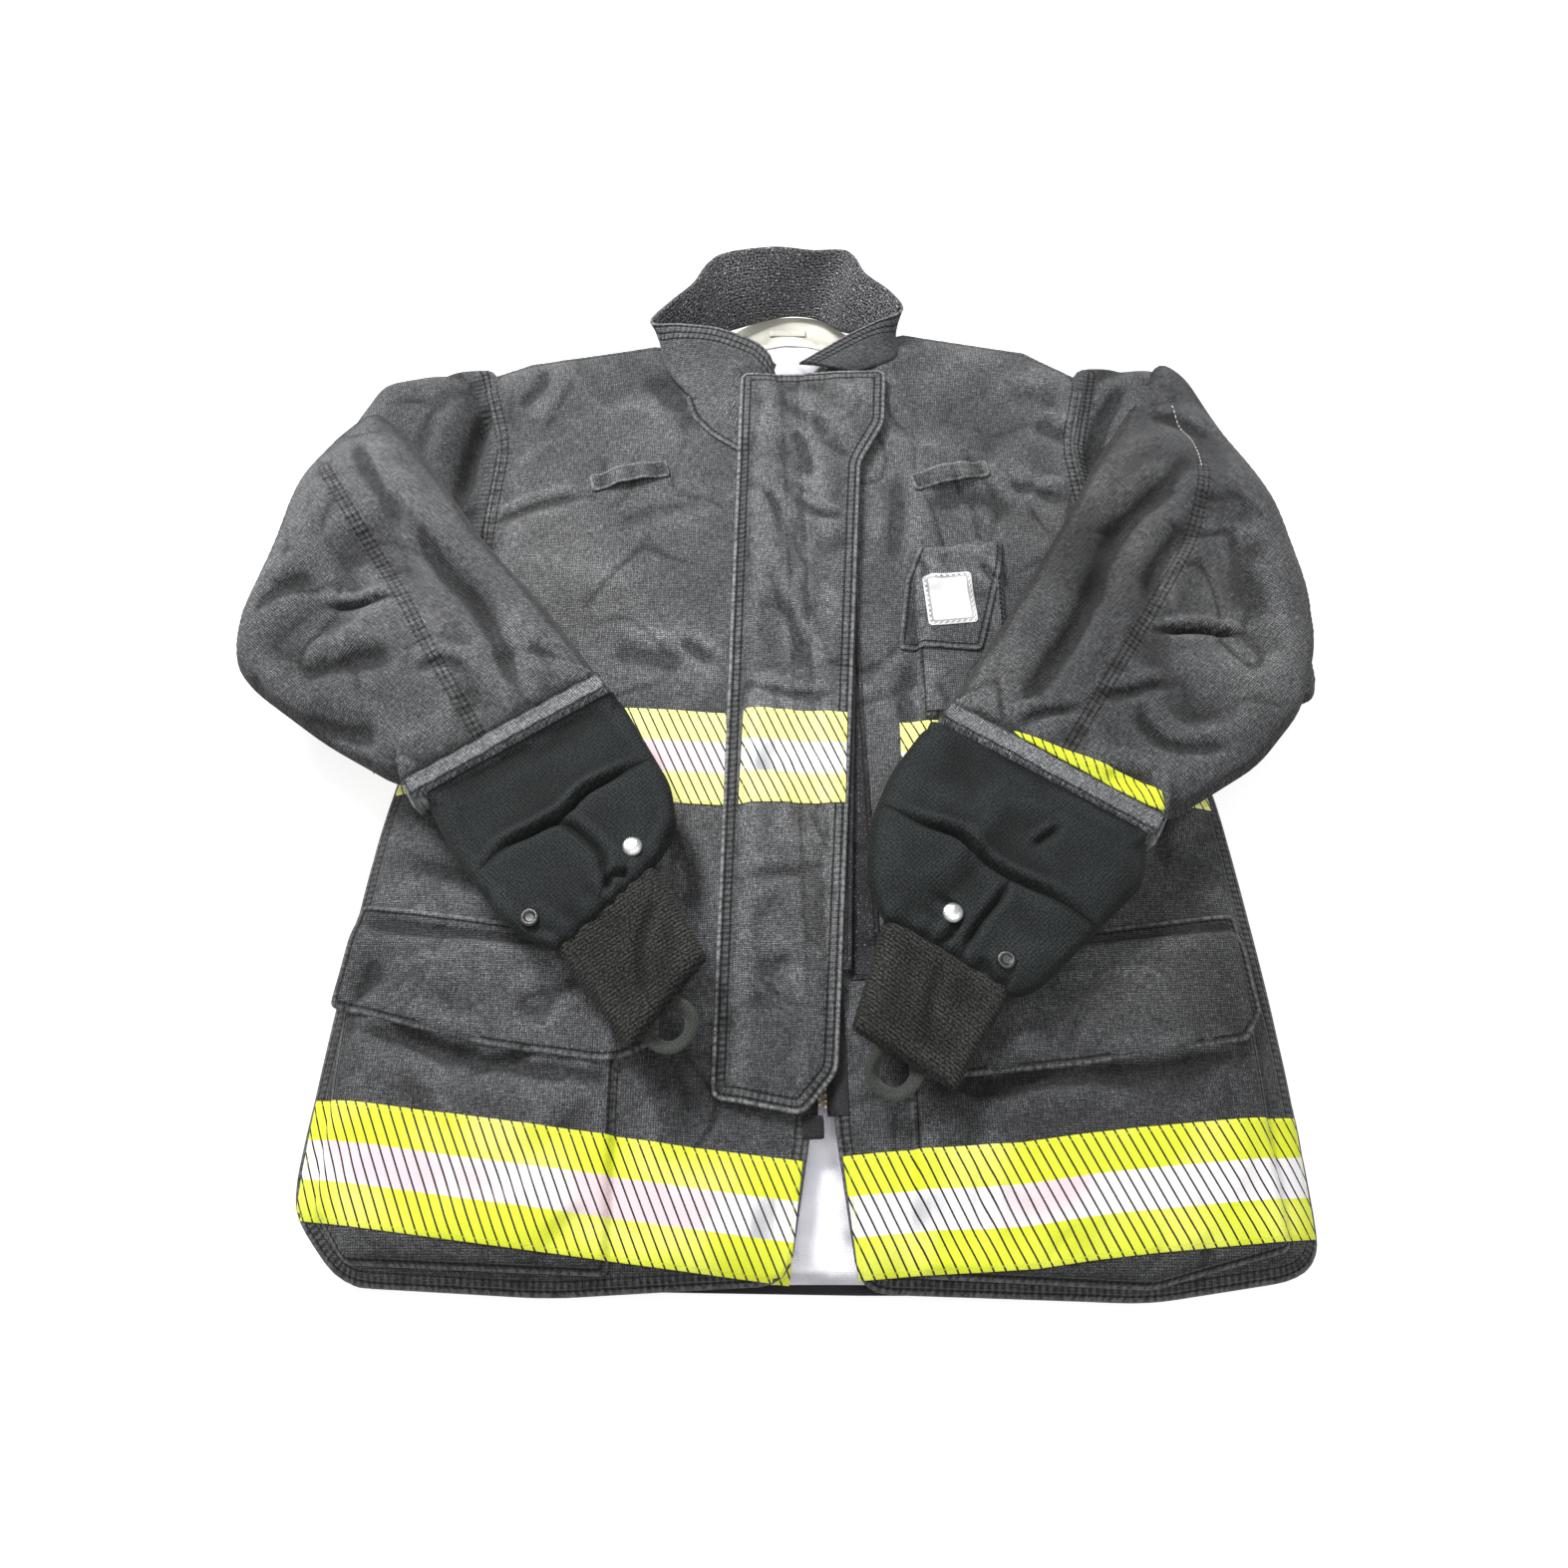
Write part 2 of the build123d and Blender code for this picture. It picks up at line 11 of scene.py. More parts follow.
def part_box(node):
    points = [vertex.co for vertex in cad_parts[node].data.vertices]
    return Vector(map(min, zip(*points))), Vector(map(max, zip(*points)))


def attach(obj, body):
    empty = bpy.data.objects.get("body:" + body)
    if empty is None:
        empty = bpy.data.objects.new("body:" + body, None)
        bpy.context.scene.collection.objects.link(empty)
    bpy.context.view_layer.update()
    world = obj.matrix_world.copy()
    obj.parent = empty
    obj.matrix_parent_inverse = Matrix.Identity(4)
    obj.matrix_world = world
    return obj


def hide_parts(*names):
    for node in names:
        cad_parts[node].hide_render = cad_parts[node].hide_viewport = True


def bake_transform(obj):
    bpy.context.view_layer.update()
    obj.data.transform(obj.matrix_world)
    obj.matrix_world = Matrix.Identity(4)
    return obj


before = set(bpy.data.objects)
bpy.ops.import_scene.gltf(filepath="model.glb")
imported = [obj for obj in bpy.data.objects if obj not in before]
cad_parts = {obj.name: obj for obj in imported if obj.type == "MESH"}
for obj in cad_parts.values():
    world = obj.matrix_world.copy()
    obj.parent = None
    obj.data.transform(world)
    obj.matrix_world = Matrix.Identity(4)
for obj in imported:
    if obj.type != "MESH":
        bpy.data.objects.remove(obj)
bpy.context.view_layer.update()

# A firefighter's turnout coat laid on its back, sleeves folded in. Plans and heights are in millimetres, in
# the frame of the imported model, and become metres when a mesh is made. Right and left are the wearer's.
MM = 0.001
PLY = 3.0            # shell cloth with its seams
PITCH = 2.8          # spacing of the points of a cloth mesh
COARSE = 9.0         # spacing of the points of a simulated cloth
SETTLING = 24        # frames that a simulated cloth has to settle in
ROWS = (2.6, 8.0)    # a double row of stitches, from the edge
HEM_ROW = (3.2,)     # a single row of stitches, from the edge
TRIM_WIDTH = 76.0
THREAD = 0.36        # half the thickness of sewing thread
STITCH = 3.3         # length of a stitch
STITCH_STEP = 4.6    # from one stitch to the next
CREASE = 1.35        # how much deeper creases are than the heights given for them
EDGE = "edge"        # seams that follow a piece's own outline
BOTH = ("right", "left")


def pair(right, left):
    """A value for each of the wearer's sides."""
    return {"right": right, "left": left}


def lines(right, left):
    """A line of points for each of the wearer's sides."""
    return pair(np.array(right, float), np.array(left, float))


# ---------------------------------------------------------------- plans: outlines seen from above
def level(node, end):
    """Height of a CAD node's underside (0) or top (1)."""
    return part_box(node)[end].z / MM


def plan(node, height=None):
    """The outline of a CAD node's flat faces at its top, or at another height, anticlockwise."""
    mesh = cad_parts[node].data
    corners = [tuple(round(c / MM, 2) for c in vertex.co) for vertex in mesh.vertices]
    height = level(node, 1) if height is None else height
    edges = set()
    for face in mesh.polygons:
        ring = [corners[i] for i in face.vertices]
        if all(abs(corner[2] - height) < 0.06 for corner in ring):
            edges.update(zip(ring, ring[1:] + ring[:1]))
    following = defaultdict(list)
    for a, b in sorted(edges):
        if (b, a) not in edges:
            following[a].append(b)
    loops = []
    while following:
        first = here = min(following)
        loop = []
        while here in following:
            loop.append(here)
            after = following[here].pop()
            if not following[here]:
                del following[here]
            here = after
        loops.append(np.array(loop)[:, :2])
    return straightened(max(loops, key=lambda loop: abs(area(loop))))


def area(outline):
    """Signed area of an outline, positive when it runs anticlockwise."""
    x, y = outline[:, 0], outline[:, 1]
    return 0.5 * float(np.sum(x * np.roll(y, -1) - np.roll(x, -1) * y))


def cut_size(outline):
    """Length and width in metres of the smallest rectangle that a piece could be cut from."""
    best = None
    for turn in np.radians(np.arange(0, 90, 2)):
        across = outline @ np.array([math.cos(turn), math.sin(turn)])
        down = outline @ np.array([-math.sin(turn), math.cos(turn)])
        size = (float(np.ptp(across)) * MM, float(np.ptp(down)) * MM)
        if best is None or size[0] * size[1] < best[0] * best[1]:
            best = size
    return best


def trued(points):
    """An array of outline points that runs anticlockwise."""
    outline = np.array(points, float)
    return outline if area(outline) > 0 else outline[::-1]


def straightened(outline, tolerance=0.3):
    """An outline turned anticlockwise, without the points that lie on a nearly straight run."""
    outline = trued(outline)
    kept = [outline[0]]
    skipped = []
    for here, after in zip(outline[1:], np.roll(outline, -1, 0)[1:]):
        run = (after - kept[-1]) / max(np.linalg.norm(after - kept[-1]), 1e-6)
        skipped.append(here)
        gaps = [abs(run[0] * (p - kept[-1])[1] - run[1] * (p - kept[-1])[0]) for p in skipped]
        if max(gaps) > tolerance:
            kept.append(here)
            skipped = []
    return np.array(kept)


def grown(outline, distance):
    """An outline moved outwards by a distance, or inwards if it is negative."""
    ahead = np.roll(outline, -1, 0) - outline
    ahead /= np.linalg.norm(ahead, axis=1)[:, None]
    normal = np.column_stack([ahead[:, 1], -ahead[:, 0]])
    before = np.roll(normal, 1, 0)
    mitre = normal + before
    return outline + distance * mitre / np.maximum(np.sum(mitre * mitre, 1), 0.7)[:, None] * 2


def rounded(outline, radius):
    """An outline with each corner turned into a short curve."""
    result = []
    for i, corner in enumerate(outline):
        ends = []
        for other in (outline[i - 1], outline[(i + 1) % len(outline)]):
            run = np.linalg.norm(other - corner)
            ends.append(corner + (other - corner) * min(radius / run, 0.45))
        for t in np.linspace(0, 1, 5):
            result.append((1 - t) ** 2 * ends[0] + 2 * t * (1 - t) * corner + t * t * ends[1])
    return np.array(result)


def spaced(line, pitch, closed=True):
    """Points along a line at about an even pitch that keep its corners."""
    ends = np.roll(line, -1, 0) if closed else line[1:]
    result = []
    for a, b in zip(line, ends):
        steps = max(1, round(np.linalg.norm(b - a) / pitch))
        result.extend(a + (b - a) * k / steps for k in range(steps))
    if not closed:
        result.append(line[-1])
    return np.array(result)


def between(a, b, c, d, t):
    """The point at a share t of the way from b to c on a smooth curve through four points."""
    square, cube = 2 * a - 5 * b + 4 * c - d, 3 * b - a - 3 * c + d
    return 0.5 * (2 * b + (c - a) * t + square * t ** 2 + cube * t ** 3)


def smooth_line(points, pitch=3.0):
    """A smooth curve through given points."""
    points = np.array(points, float)
    padded = np.concatenate([2 * points[:1] - points[1:2], points, 2 * points[-1:] - points[-2:-1]])
    result = []
    for near in zip(padded, padded[1:], padded[2:], padded[3:]):
        steps = max(2, round(np.linalg.norm(near[2] - near[1]) / pitch))
        result.extend(between(*near, t) for t in np.linspace(0, 1, steps, endpoint=False))
    return np.array(result + [points[-1]])


def nearest(points, line, closed=False):
    """For each point: distance to a line, signed by its side, and how far along the line that is."""
    ends = np.roll(line, -1, 0) if closed else line[1:]
    starts = line if closed else line[:-1]
    best = np.full(len(points), 1e9)
    signed, along = np.zeros(len(points)), np.zeros(len(points))
    walked = 0.0
    for a, b in zip(starts, ends):
        run = b - a
        length = max(np.linalg.norm(run), 1e-6)
        share = np.clip((points - a) @ run / length ** 2, 0, 1)
        gap = points - a - share[:, None] * run
        distance = np.hypot(gap[:, 0], gap[:, 1])
        side = np.sign(run[0] * gap[:, 1] - run[1] * gap[:, 0])
        closer = distance < best
        best = np.where(closer, distance, best)
        signed = np.where(closer, distance * side, signed)
        along = np.where(closer, walked + share * length, along)
        walked += length
    return signed, along


def distance(points, line, closed=False):
    """How far each point is from a line."""
    return np.abs(nearest(points, line, closed)[0])


def inside(points, outline):
    """Which points an outline goes round."""
    within = np.zeros(len(points), bool)
    for a, b in zip(outline, np.roll(outline, -1, 0)):
        spans = (a[1] > points[:, 1]) != (b[1] > points[:, 1])
        rise = b[1] - a[1] if abs(b[1] - a[1]) > 1e-9 else 1e-9
        within ^= spans & (points[:, 0] < a[0] + (points[:, 1] - a[1]) / rise * (b[0] - a[0]))
    return within


def fill(outline, pitch):
    """An outline filled with even triangles: the points, the triangles, and how many points form the rim."""
    ring = spaced(outline, pitch)
    low, high = ring.min(0), ring.max(0)
    rows = []
    for k, y in enumerate(np.arange(low[1], high[1], pitch * math.sqrt(0.75))):
        x = np.arange(low[0] + (k % 2) * pitch / 2, high[0], pitch)
        rows.append(np.column_stack([x, np.full(len(x), y)]))
    grid = np.concatenate(rows)
    grid = grid[inside(grid, outline) & (distance(grid, outline, True) > 0.55 * pitch)]
    points = np.concatenate([ring, grid])
    rim = [(i, (i + 1) % len(ring)) for i in range(len(ring))]
    _, _, faces, origin, _, _ = delaunay_2d_cdt([Vector(p) for p in points], rim, [], 1, 1e-5)
    triangles = np.array([[origin[i][0] for i in face] for face in faces if len(face) == 3])
    return points, triangles, len(ring)


# ---------------------------------------------------------------- heights: folds, ripples and settled cloth
def ease(t):
    """0 below 0, 1 above 1, and smooth between."""
    t = np.clip(t, 0, 1)
    return t * t * (3 - 2 * t)


def bell(x, width):
    """1 at 0, falling off smoothly on both sides and close to 0 from twice the width."""
    return np.exp(-(x / width) ** 2)


def shifted(surface, lift):
    """The heights of a surface, moved up or down."""
    return lambda points: surface(points) + lift


def flat(height):
    """The same height everywhere."""
    return lambda points: np.full(len(points), height)


def dome(depth, reach):
    """A rounded shoulder: 0 at an edge, 1 from a distance called reach inwards."""
    t = 1 - np.clip(depth / reach, 0, 1)
    return np.sqrt(np.maximum(1 - t * t, 0))


def ripples(points, size, seed, stretch=(1.0, 1.0)):
    """Gentle unevenness between about -1 and 1, of a given size and always the same for a seed."""
    random = np.random.default_rng(seed)
    total = np.zeros(len(points))
    for _ in range(14):
        heading = random.uniform(0, math.pi)
        wave = 2 * math.pi / (size * random.uniform(0.7, 1.6))
        across = points[:, 0] * math.cos(heading) / stretch[0] + points[:, 1] * math.sin(heading) / stretch[1]
        total += np.sin(across * wave + random.uniform(0, 6.3) + 0.8 * np.sin(across * wave * 0.37))
    return total / 5.0


def crinkles(points, size, seed, width=0.13):
    """Thin, broken crease lines that wander over worn cloth: 1 on a line, 0 between."""
    line = bell(ripples(points, size, seed, (1.0, 1.4)), width)
    return line * ease(0.5 + 0.9 * ripples(points, size * 1.7, seed + 100))


def painted_shade(points, spots):
    """Painted shade: how much colour is left, where each spot is (x, y, half-width, half-height, share of the
    colour there).
    """
    left = np.ones(len(points))
    for x, y, wide, high, share in spots:
        away = ((points[:, 0] - x) / wide) ** 2 + ((points[:, 1] - y) / high) ** 2
        left *= 1 - (1 - share) * np.exp(-away ** 1.5)
    return left


def folds(points, lines):
    """Sum of creases. Each is (route, height, half-width, lip): a valley if the height is negative.
    A lip is a ridge of that height on the left of the line."""
    total = np.zeros(len(points))
    for route, height, width, lip in lines:
        line = smooth_line(route, 8.0)
        side, along = nearest(points, line)
        length = np.sum(np.linalg.norm(np.diff(line, axis=0), axis=1))
        taper = ease(along / (0.3 * length)) * ease((length - along) / (0.3 * length)) + 0.12
        total += CREASE * taper * (height * bell(side, width) + lip * bell(side - 1.9 * width, 1.2 * width))
    return total


def cast(surface, points, missing):
    """Height of a surface under each point, or a level where it has none."""
    hits = [surface.ray_cast(Vector((x * MM, y * MM, 1.0)), Vector((0, 0, -1)))[0] for x, y in points]
    return np.array([missing if hit is None else hit.z / MM for hit in hits])


def tree_of(*objects):
    """A search tree over the meshes of some pieces."""
    corners, faces = [], []
    for piece in objects:
        first = len(corners)
        corners.extend(vertex.co for vertex in piece.data.vertices)
        faces.extend([first + i for i in face.vertices] for face in piece.data.polygons)
    return BVHTree.FromPolygons(corners, faces)


def baked(piece):
    """A new mesh with a piece's modifiers applied; the piece itself is removed."""
    mesh = bpy.data.meshes.new_from_object(piece.evaluated_get(bpy.context.evaluated_depsgraph_get()))
    bpy.data.objects.remove(piece)
    return mesh


def linked(name, data):
    """An object made from a mesh, a lamp or a camera, in the scene."""
    piece = bpy.data.objects.new(name, data)
    bpy.context.scene.collection.objects.link(piece)
    return piece


def settled(outline, slack, seed, stiffness=14.0, pins=()):
    """Cloth cut a little larger than its sewn edges and left to buckle: a function that gives heights."""
    points, triangles, rim = fill(outline, COARSE)
    start = 0.5 * ripples(points, 40, seed)
    mesh = bpy.data.meshes.new("settling")
    mesh.from_pydata(np.column_stack([points, start]) * MM, [], triangles.tolist())
    patch = linked("settling", mesh)
    held = patch.vertex_groups.new(name="held")
    held.add(list(range(rim)), 1.0, "REPLACE")
    for pin in pins:
        near = distance(points, pin) < 0.7 * COARSE
        held.add(np.nonzero(near)[0].tolist(), 1.0, "REPLACE")
    modifier = patch.modifiers.new("cloth", "CLOTH")
    modifier.collision_settings.use_collision = False
    settings = modifier.settings
    settings.quality = 6
    settings.mass = 0.2
    settings.tension_stiffness = settings.compression_stiffness = 20
    settings.shear_stiffness = 8
    settings.bending_stiffness = stiffness
    settings.vertex_group_mass = "held"
    settings.shrink_min = -slack
    settings.use_pressure = True
    settings.uniform_pressure_force = 0.4
    settings.effector_weights.gravity = 0
    scene = bpy.context.scene
    for step in range(1, SETTLING + 1):
        scene.frame_set(step)
    buckled = baked(patch)
    scene.frame_set(1)
    smooth = linked("smooth", buckled)
    relax = smooth.modifiers.new("relax", "SMOOTH")
    relax.factor = 0.5
    relax.iterations = 5
    smooth.modifiers.new("round", "SUBSURF").levels = 2
    fine = baked(smooth)
    corners = [vertex.co.copy() for vertex in fine.vertices]
    surface = BVHTree.FromPolygons(corners, [list(face.vertices) for face in fine.polygons])
    return lambda points: cast(surface, points, 0.0)


# ---------------------------------------------------------------- meshes
def make_object(name, corners, faces, materials, slots=None):
    """A smooth-shaded mesh object from corners in millimetres."""
    mesh = bpy.data.meshes.new(name)
    mesh.from_pydata((np.asarray(corners, float) * MM).tolist(), [], faces)
    mesh.polygons.foreach_set("use_smooth", [True] * len(mesh.polygons))
    for material in materials:
        mesh.materials.append(material)
    if slots is not None:
        mesh.polygons.foreach_set("material_index", slots)
    return linked(name, mesh)


def give_uv(piece, name, per_corner):
    """A UV map with one place for each vertex, in metres."""
    mesh = piece.data
    layer = mesh.uv_layers.new(name=name)
    index = np.zeros(len(mesh.loops), int)
    mesh.loops.foreach_get("vertex_index", index)
    layer.data.foreach_set("uv", (np.asarray(per_corner)[index] * MM).astype(np.float32).ravel())


def give_value(piece, name, values):
    """A number for each vertex, which a material can read."""
    layer = piece.data.attributes.new(name, "FLOAT", "POINT")
    layer.data.foreach_set("value", np.asarray(values, np.float32))


def no_painted_shade(piece):
    """The same crease relief all over a small piece, which leaves it nearly free of painted crease shade, and
    no painted shade from spots.
    """
    count = len(piece.data.vertices)
    give_value(piece, "worn", np.full(count, 0.55))
    give_value(piece, "tone", np.ones(count))


def give_crease_relief(piece, heights, triangles, rounds=14):
    """Stores how far each point stands above the cloth around it, from 0 in a valley to 1 on a ridge; the
    materials paint shade into the valleys and a highlight onto the ridges from it.
    """
    mean = heights.copy()
    pairs = np.concatenate([triangles[:, [0, 1]], triangles[:, [1, 2]], triangles[:, [2, 0]]])
    count = np.bincount(pairs.ravel(), minlength=len(heights)) + 1.0
    for _ in range(rounds):
        total = mean.copy()
        np.add.at(total, pairs[:, 0], mean[pairs[:, 1]])
        np.add.at(total, pairs[:, 1], mean[pairs[:, 0]])
        mean = total / count
    raised = np.clip(0.5 + (heights - mean) / 1.8, 0, 1)
    extra = len(piece.data.vertices) - 2 * len(heights)
    give_value(piece, "worn", np.concatenate([raised, np.full(len(heights) + extra, 0.5)]))


def seam_map(points, seams):
    """Distance to the nearest seam and how far along it, for the stitch rows in the material."""
    away, along = np.full(len(points), 1e3), np.zeros(len(points))
    for line, closed in seams:
        side, walked = nearest(points, line, closed)
        side = np.abs(side) if closed else side
        closer = np.abs(side) < np.abs(away)
        away = np.where(closer, side, away)
        along = np.where(closer, walked, along)
    return np.column_stack([along, np.clip(away, -60, 60)])


def slab(name, outline, top, bottom, materials, pitch=PITCH, grain=0.0, seams=(), weave=None, spots=()):
    """A piece of cloth: an upper and a lower face between two heights, closed by a rounded edge."""
    seams = [(outline, True)] if seams == EDGE else seams
    points, triangles, rim = fill(outline, pitch)
    upper, lower = top(points), bottom(points)
    upper = np.maximum(upper, lower + 0.4)
    count = len(points)
    ring = points[:rim]
    out = np.roll(ring, -1, 0) - np.roll(ring, 1, 0)
    out /= np.maximum(np.linalg.norm(out, axis=1), 1e-6)[:, None]
    half = (upper[:rim] - lower[:rim]) / 2
    middle = ring + np.column_stack([out[:, 1], -out[:, 0]]) * np.minimum(half, 1.5)[:, None]
    corners = np.concatenate([np.column_stack([points, upper]), np.column_stack([points, lower]),
                              np.column_stack([middle, lower[:rim] + half])])
    faces = triangles.tolist() + (triangles[:, ::-1] + count).tolist()
    for i in range(rim):
        j = (i + 1) % rim
        faces.append([count + i, count + j, 2 * count + j, 2 * count + i])
        faces.append([2 * count + i, 2 * count + j, j, i])
    slots = [0] * len(triangles) + [len(materials) - 1] * len(triangles) + [0] * (2 * rim)
    piece = make_object(name, corners, faces, materials, slots)
    plan_of = np.concatenate([points, points, middle])
    turn = math.radians(grain)
    threads = np.array([[math.cos(turn), -math.sin(turn)], [math.sin(turn), math.cos(turn)]])
    give_uv(piece, "weave", weave(plan_of) if weave else plan_of @ threads)
    give_uv(piece, "seam", seam_map(plan_of, seams))
    give_crease_relief(piece, upper, triangles)
    # Painted shade from the spots, which the materials read as tone.
    give_value(piece, "tone", painted_shade(plan_of, spots))
    piece["flat_area"] = abs(area(outline)) * MM * MM
    piece["flat_size"] = cut_size(outline)
    return piece


def stitches(name, pieces, rows, material, thread=THREAD):
    """Rows of sewn stitches lying on some pieces, all in one mesh."""
    surface = tree_of(*pieces)
    corners, faces = [], []
    for row in rows:
        marks = even(row, STITCH_STEP)
        ahead = np.gradient(marks, axis=0)
        ahead /= np.maximum(np.linalg.norm(ahead, axis=1), 1e-6)[:, None]
        starts = cast(surface, marks - ahead * STITCH / 2, -1)
        ends = cast(surface, marks + ahead * STITCH / 2, -1)
        for (x, y), (dx, dy), z0, z1 in zip(marks, ahead, starts, ends):
            if min(z0, z1) < 0 or abs(z0 - z1) > 3:
                continue
            first = len(corners)
            for share, size, sink in ((-0.5, 0.25, 0.3), (-0.3, 1.0, 0.0), (0.3, 1.0, 0.0), (0.5, 0.25, 0.3)):
                z = z0 + (z1 - z0) * (share + 0.5) - sink
                half = thread * size
                for side, up in ((-half, 0.0), (0.0, half), (half, 0.0), (0.0, -half)):
                    corners.append((x + dx * STITCH * share - dy * side,
                                    y + dy * STITCH * share + dx * side, z + up))
            for ring in (0, 4, 8):
                for k in range(4):
                    a, b = first + ring + k, first + ring + (k + 1) % 4
                    faces.append([a, b, b + 4, a + 4])
            faces.append([first + 3, first + 2, first + 1, first])
            faces.append([first + 12, first + 13, first + 14, first + 15])
    return make_object(name, corners, faces, [material])


def even(line, step):
    """Points exactly one step apart along a line."""
    runs = np.linalg.norm(np.diff(line, axis=0), axis=1)
    walked = np.concatenate([[0], np.cumsum(runs)])
    marks = np.arange(step / 2, walked[-1], step)
    return np.column_stack([np.interp(marks, walked, line[:, k]) for k in (0, 1)])


def inner_rows(outline, offsets):
    """Closed lines inside an outline at some distances from its edge."""
    rows = []
    for offset in offsets:
        line = spaced(grown(outline, -offset), 4.0)
        rows.append(np.concatenate([line, line[:1]]))
    return rows


def beside(line, offsets):
    """Lines at some distances to the left of a line."""
    ahead = np.gradient(line, axis=0)
    ahead /= np.maximum(np.linalg.norm(ahead, axis=1), 1e-6)[:, None]
    left = np.column_stack([-ahead[:, 1], ahead[:, 0]])
    return [line + left * offset for offset in offsets]


# ---------------------------------------------------------------- materials
class Shader:
    """A node material under construction."""

    def __init__(self, name, roughness=0.85, sheen=0.0, specular=0.3, metallic=0.0):
        self.material = bpy.data.materials.new(name)
        self.material.use_nodes = True
        self.tree = self.material.node_tree
        self.surface = self.tree.nodes["Principled BSDF"]
        self.surface.inputs["Roughness"].default_value = roughness
        self.surface.inputs["Sheen Weight"].default_value = sheen
        self.surface.inputs["Sheen Roughness"].default_value = 0.45
        self.surface.inputs["Specular IOR Level"].default_value = specular
        self.surface.inputs["Metallic"].default_value = metallic

    def set(self, socket, value):
        if isinstance(value, bpy.types.NodeSocket):
            self.tree.links.new(value, socket)
        else:
            socket.default_value = value

    def node(self, kind, output=0, settings=(), **inputs):
        made = self.tree.nodes.new("ShaderNode" + kind)
        for key, value in dict(settings).items():
            setattr(made, key, value)
        for key, value in inputs.items():
            self.set(made.inputs[key.replace("_", " ")], value)
        return made.outputs[output]

    def math(self, operation, *values):
        made = self.tree.nodes.new("ShaderNodeMath")
        made.operation = operation
        for socket, value in zip(made.inputs, values):
            self.set(socket, value)
        return made.outputs[0]

    def mul(self, a, b):
        return self.math("MULTIPLY", a, b)

    def attribute(self, name):
        return self.node("Attribute", output=2, settings={"attribute_name": name})

    def uv(self, name):
        return self.node("UVMap", settings={"uv_map": name})

    def split(self, vector):
        made = self.tree.nodes.new("ShaderNodeSeparateXYZ")
        self.set(made.inputs[0], vector)
        return made.outputs[0], made.outputs[1]

    def noise(self, vector, scale, detail=2.0, roughness=0.5):
        return self.node("TexNoise", Vector=vector, Scale=scale, Detail=detail, Roughness=roughness)

    def ramp(self, value, low, high, start=0.0, end=1.0):
        """A value brought from the range low..high into start..end, smoothly and no further."""
        return self.node("MapRange", settings={"interpolation_type": "SMOOTHSTEP"}, Value=value, From_Min=low,
                         From_Max=high, To_Min=start, To_Max=end)

    def mix(self, share, a, b, blend="MIX"):
        made = self.tree.nodes.new("ShaderNodeMix")
        made.data_type = "RGBA"
        made.blend_type = blend
        self.set(made.inputs[0], share)
        for socket, value in ((made.inputs[6], a), (made.inputs[7], b)):
            self.set(socket, (*value, 1.0) if isinstance(value, tuple) and len(value) == 3 else value)
        return made.outputs[2]

    def times(self, colour, share):
        """A colour made darker or lighter everywhere by a grey value."""
        grey = self.node("CombineColor", Red=share, Green=share, Blue=share)
        return self.mix(1.0, colour, grey, "MULTIPLY")

    def finish(self, colour, height=None, depth=0.0006, strength=1.0, roughness=None):
        self.set(self.surface.inputs["Base Color"], colour)
        if height is not None:
            bump = self.node("Bump", Height=height, Strength=strength, Distance=depth)
            self.set(self.surface.inputs["Normal"], bump)
        if roughness is not None:
            self.set(self.surface.inputs["Roughness"], roughness)
        return self.material

    def weave(self, vector, pitch):
        """A plain weave: 1 where threads cross and 0 in the gaps between them."""
        x, y = self.split(vector)
        turn = math.pi / pitch
        across = self.math("ABSOLUTE", self.math("SINE", self.mul(x, turn)))
        down = self.math("ABSOLUTE", self.math("SINE", self.mul(y, turn)))
        return self.math("SQRT", self.mul(across, down))

    def row_marks(self, rows, width=0.0008):
        """1 on the stitch rows at some distances from the seam, 0 elsewhere."""
        _, away = self.split(self.uv("seam"))
        total = 0.0
        for row in rows:
            gap = self.math("ABSOLUTE", self.math("SUBTRACT", away, row * MM))
            total = self.math("MAXIMUM", total, self.ramp(gap, 0.3 * width, 1.6 * width, 1.0, 0.0))
        return total


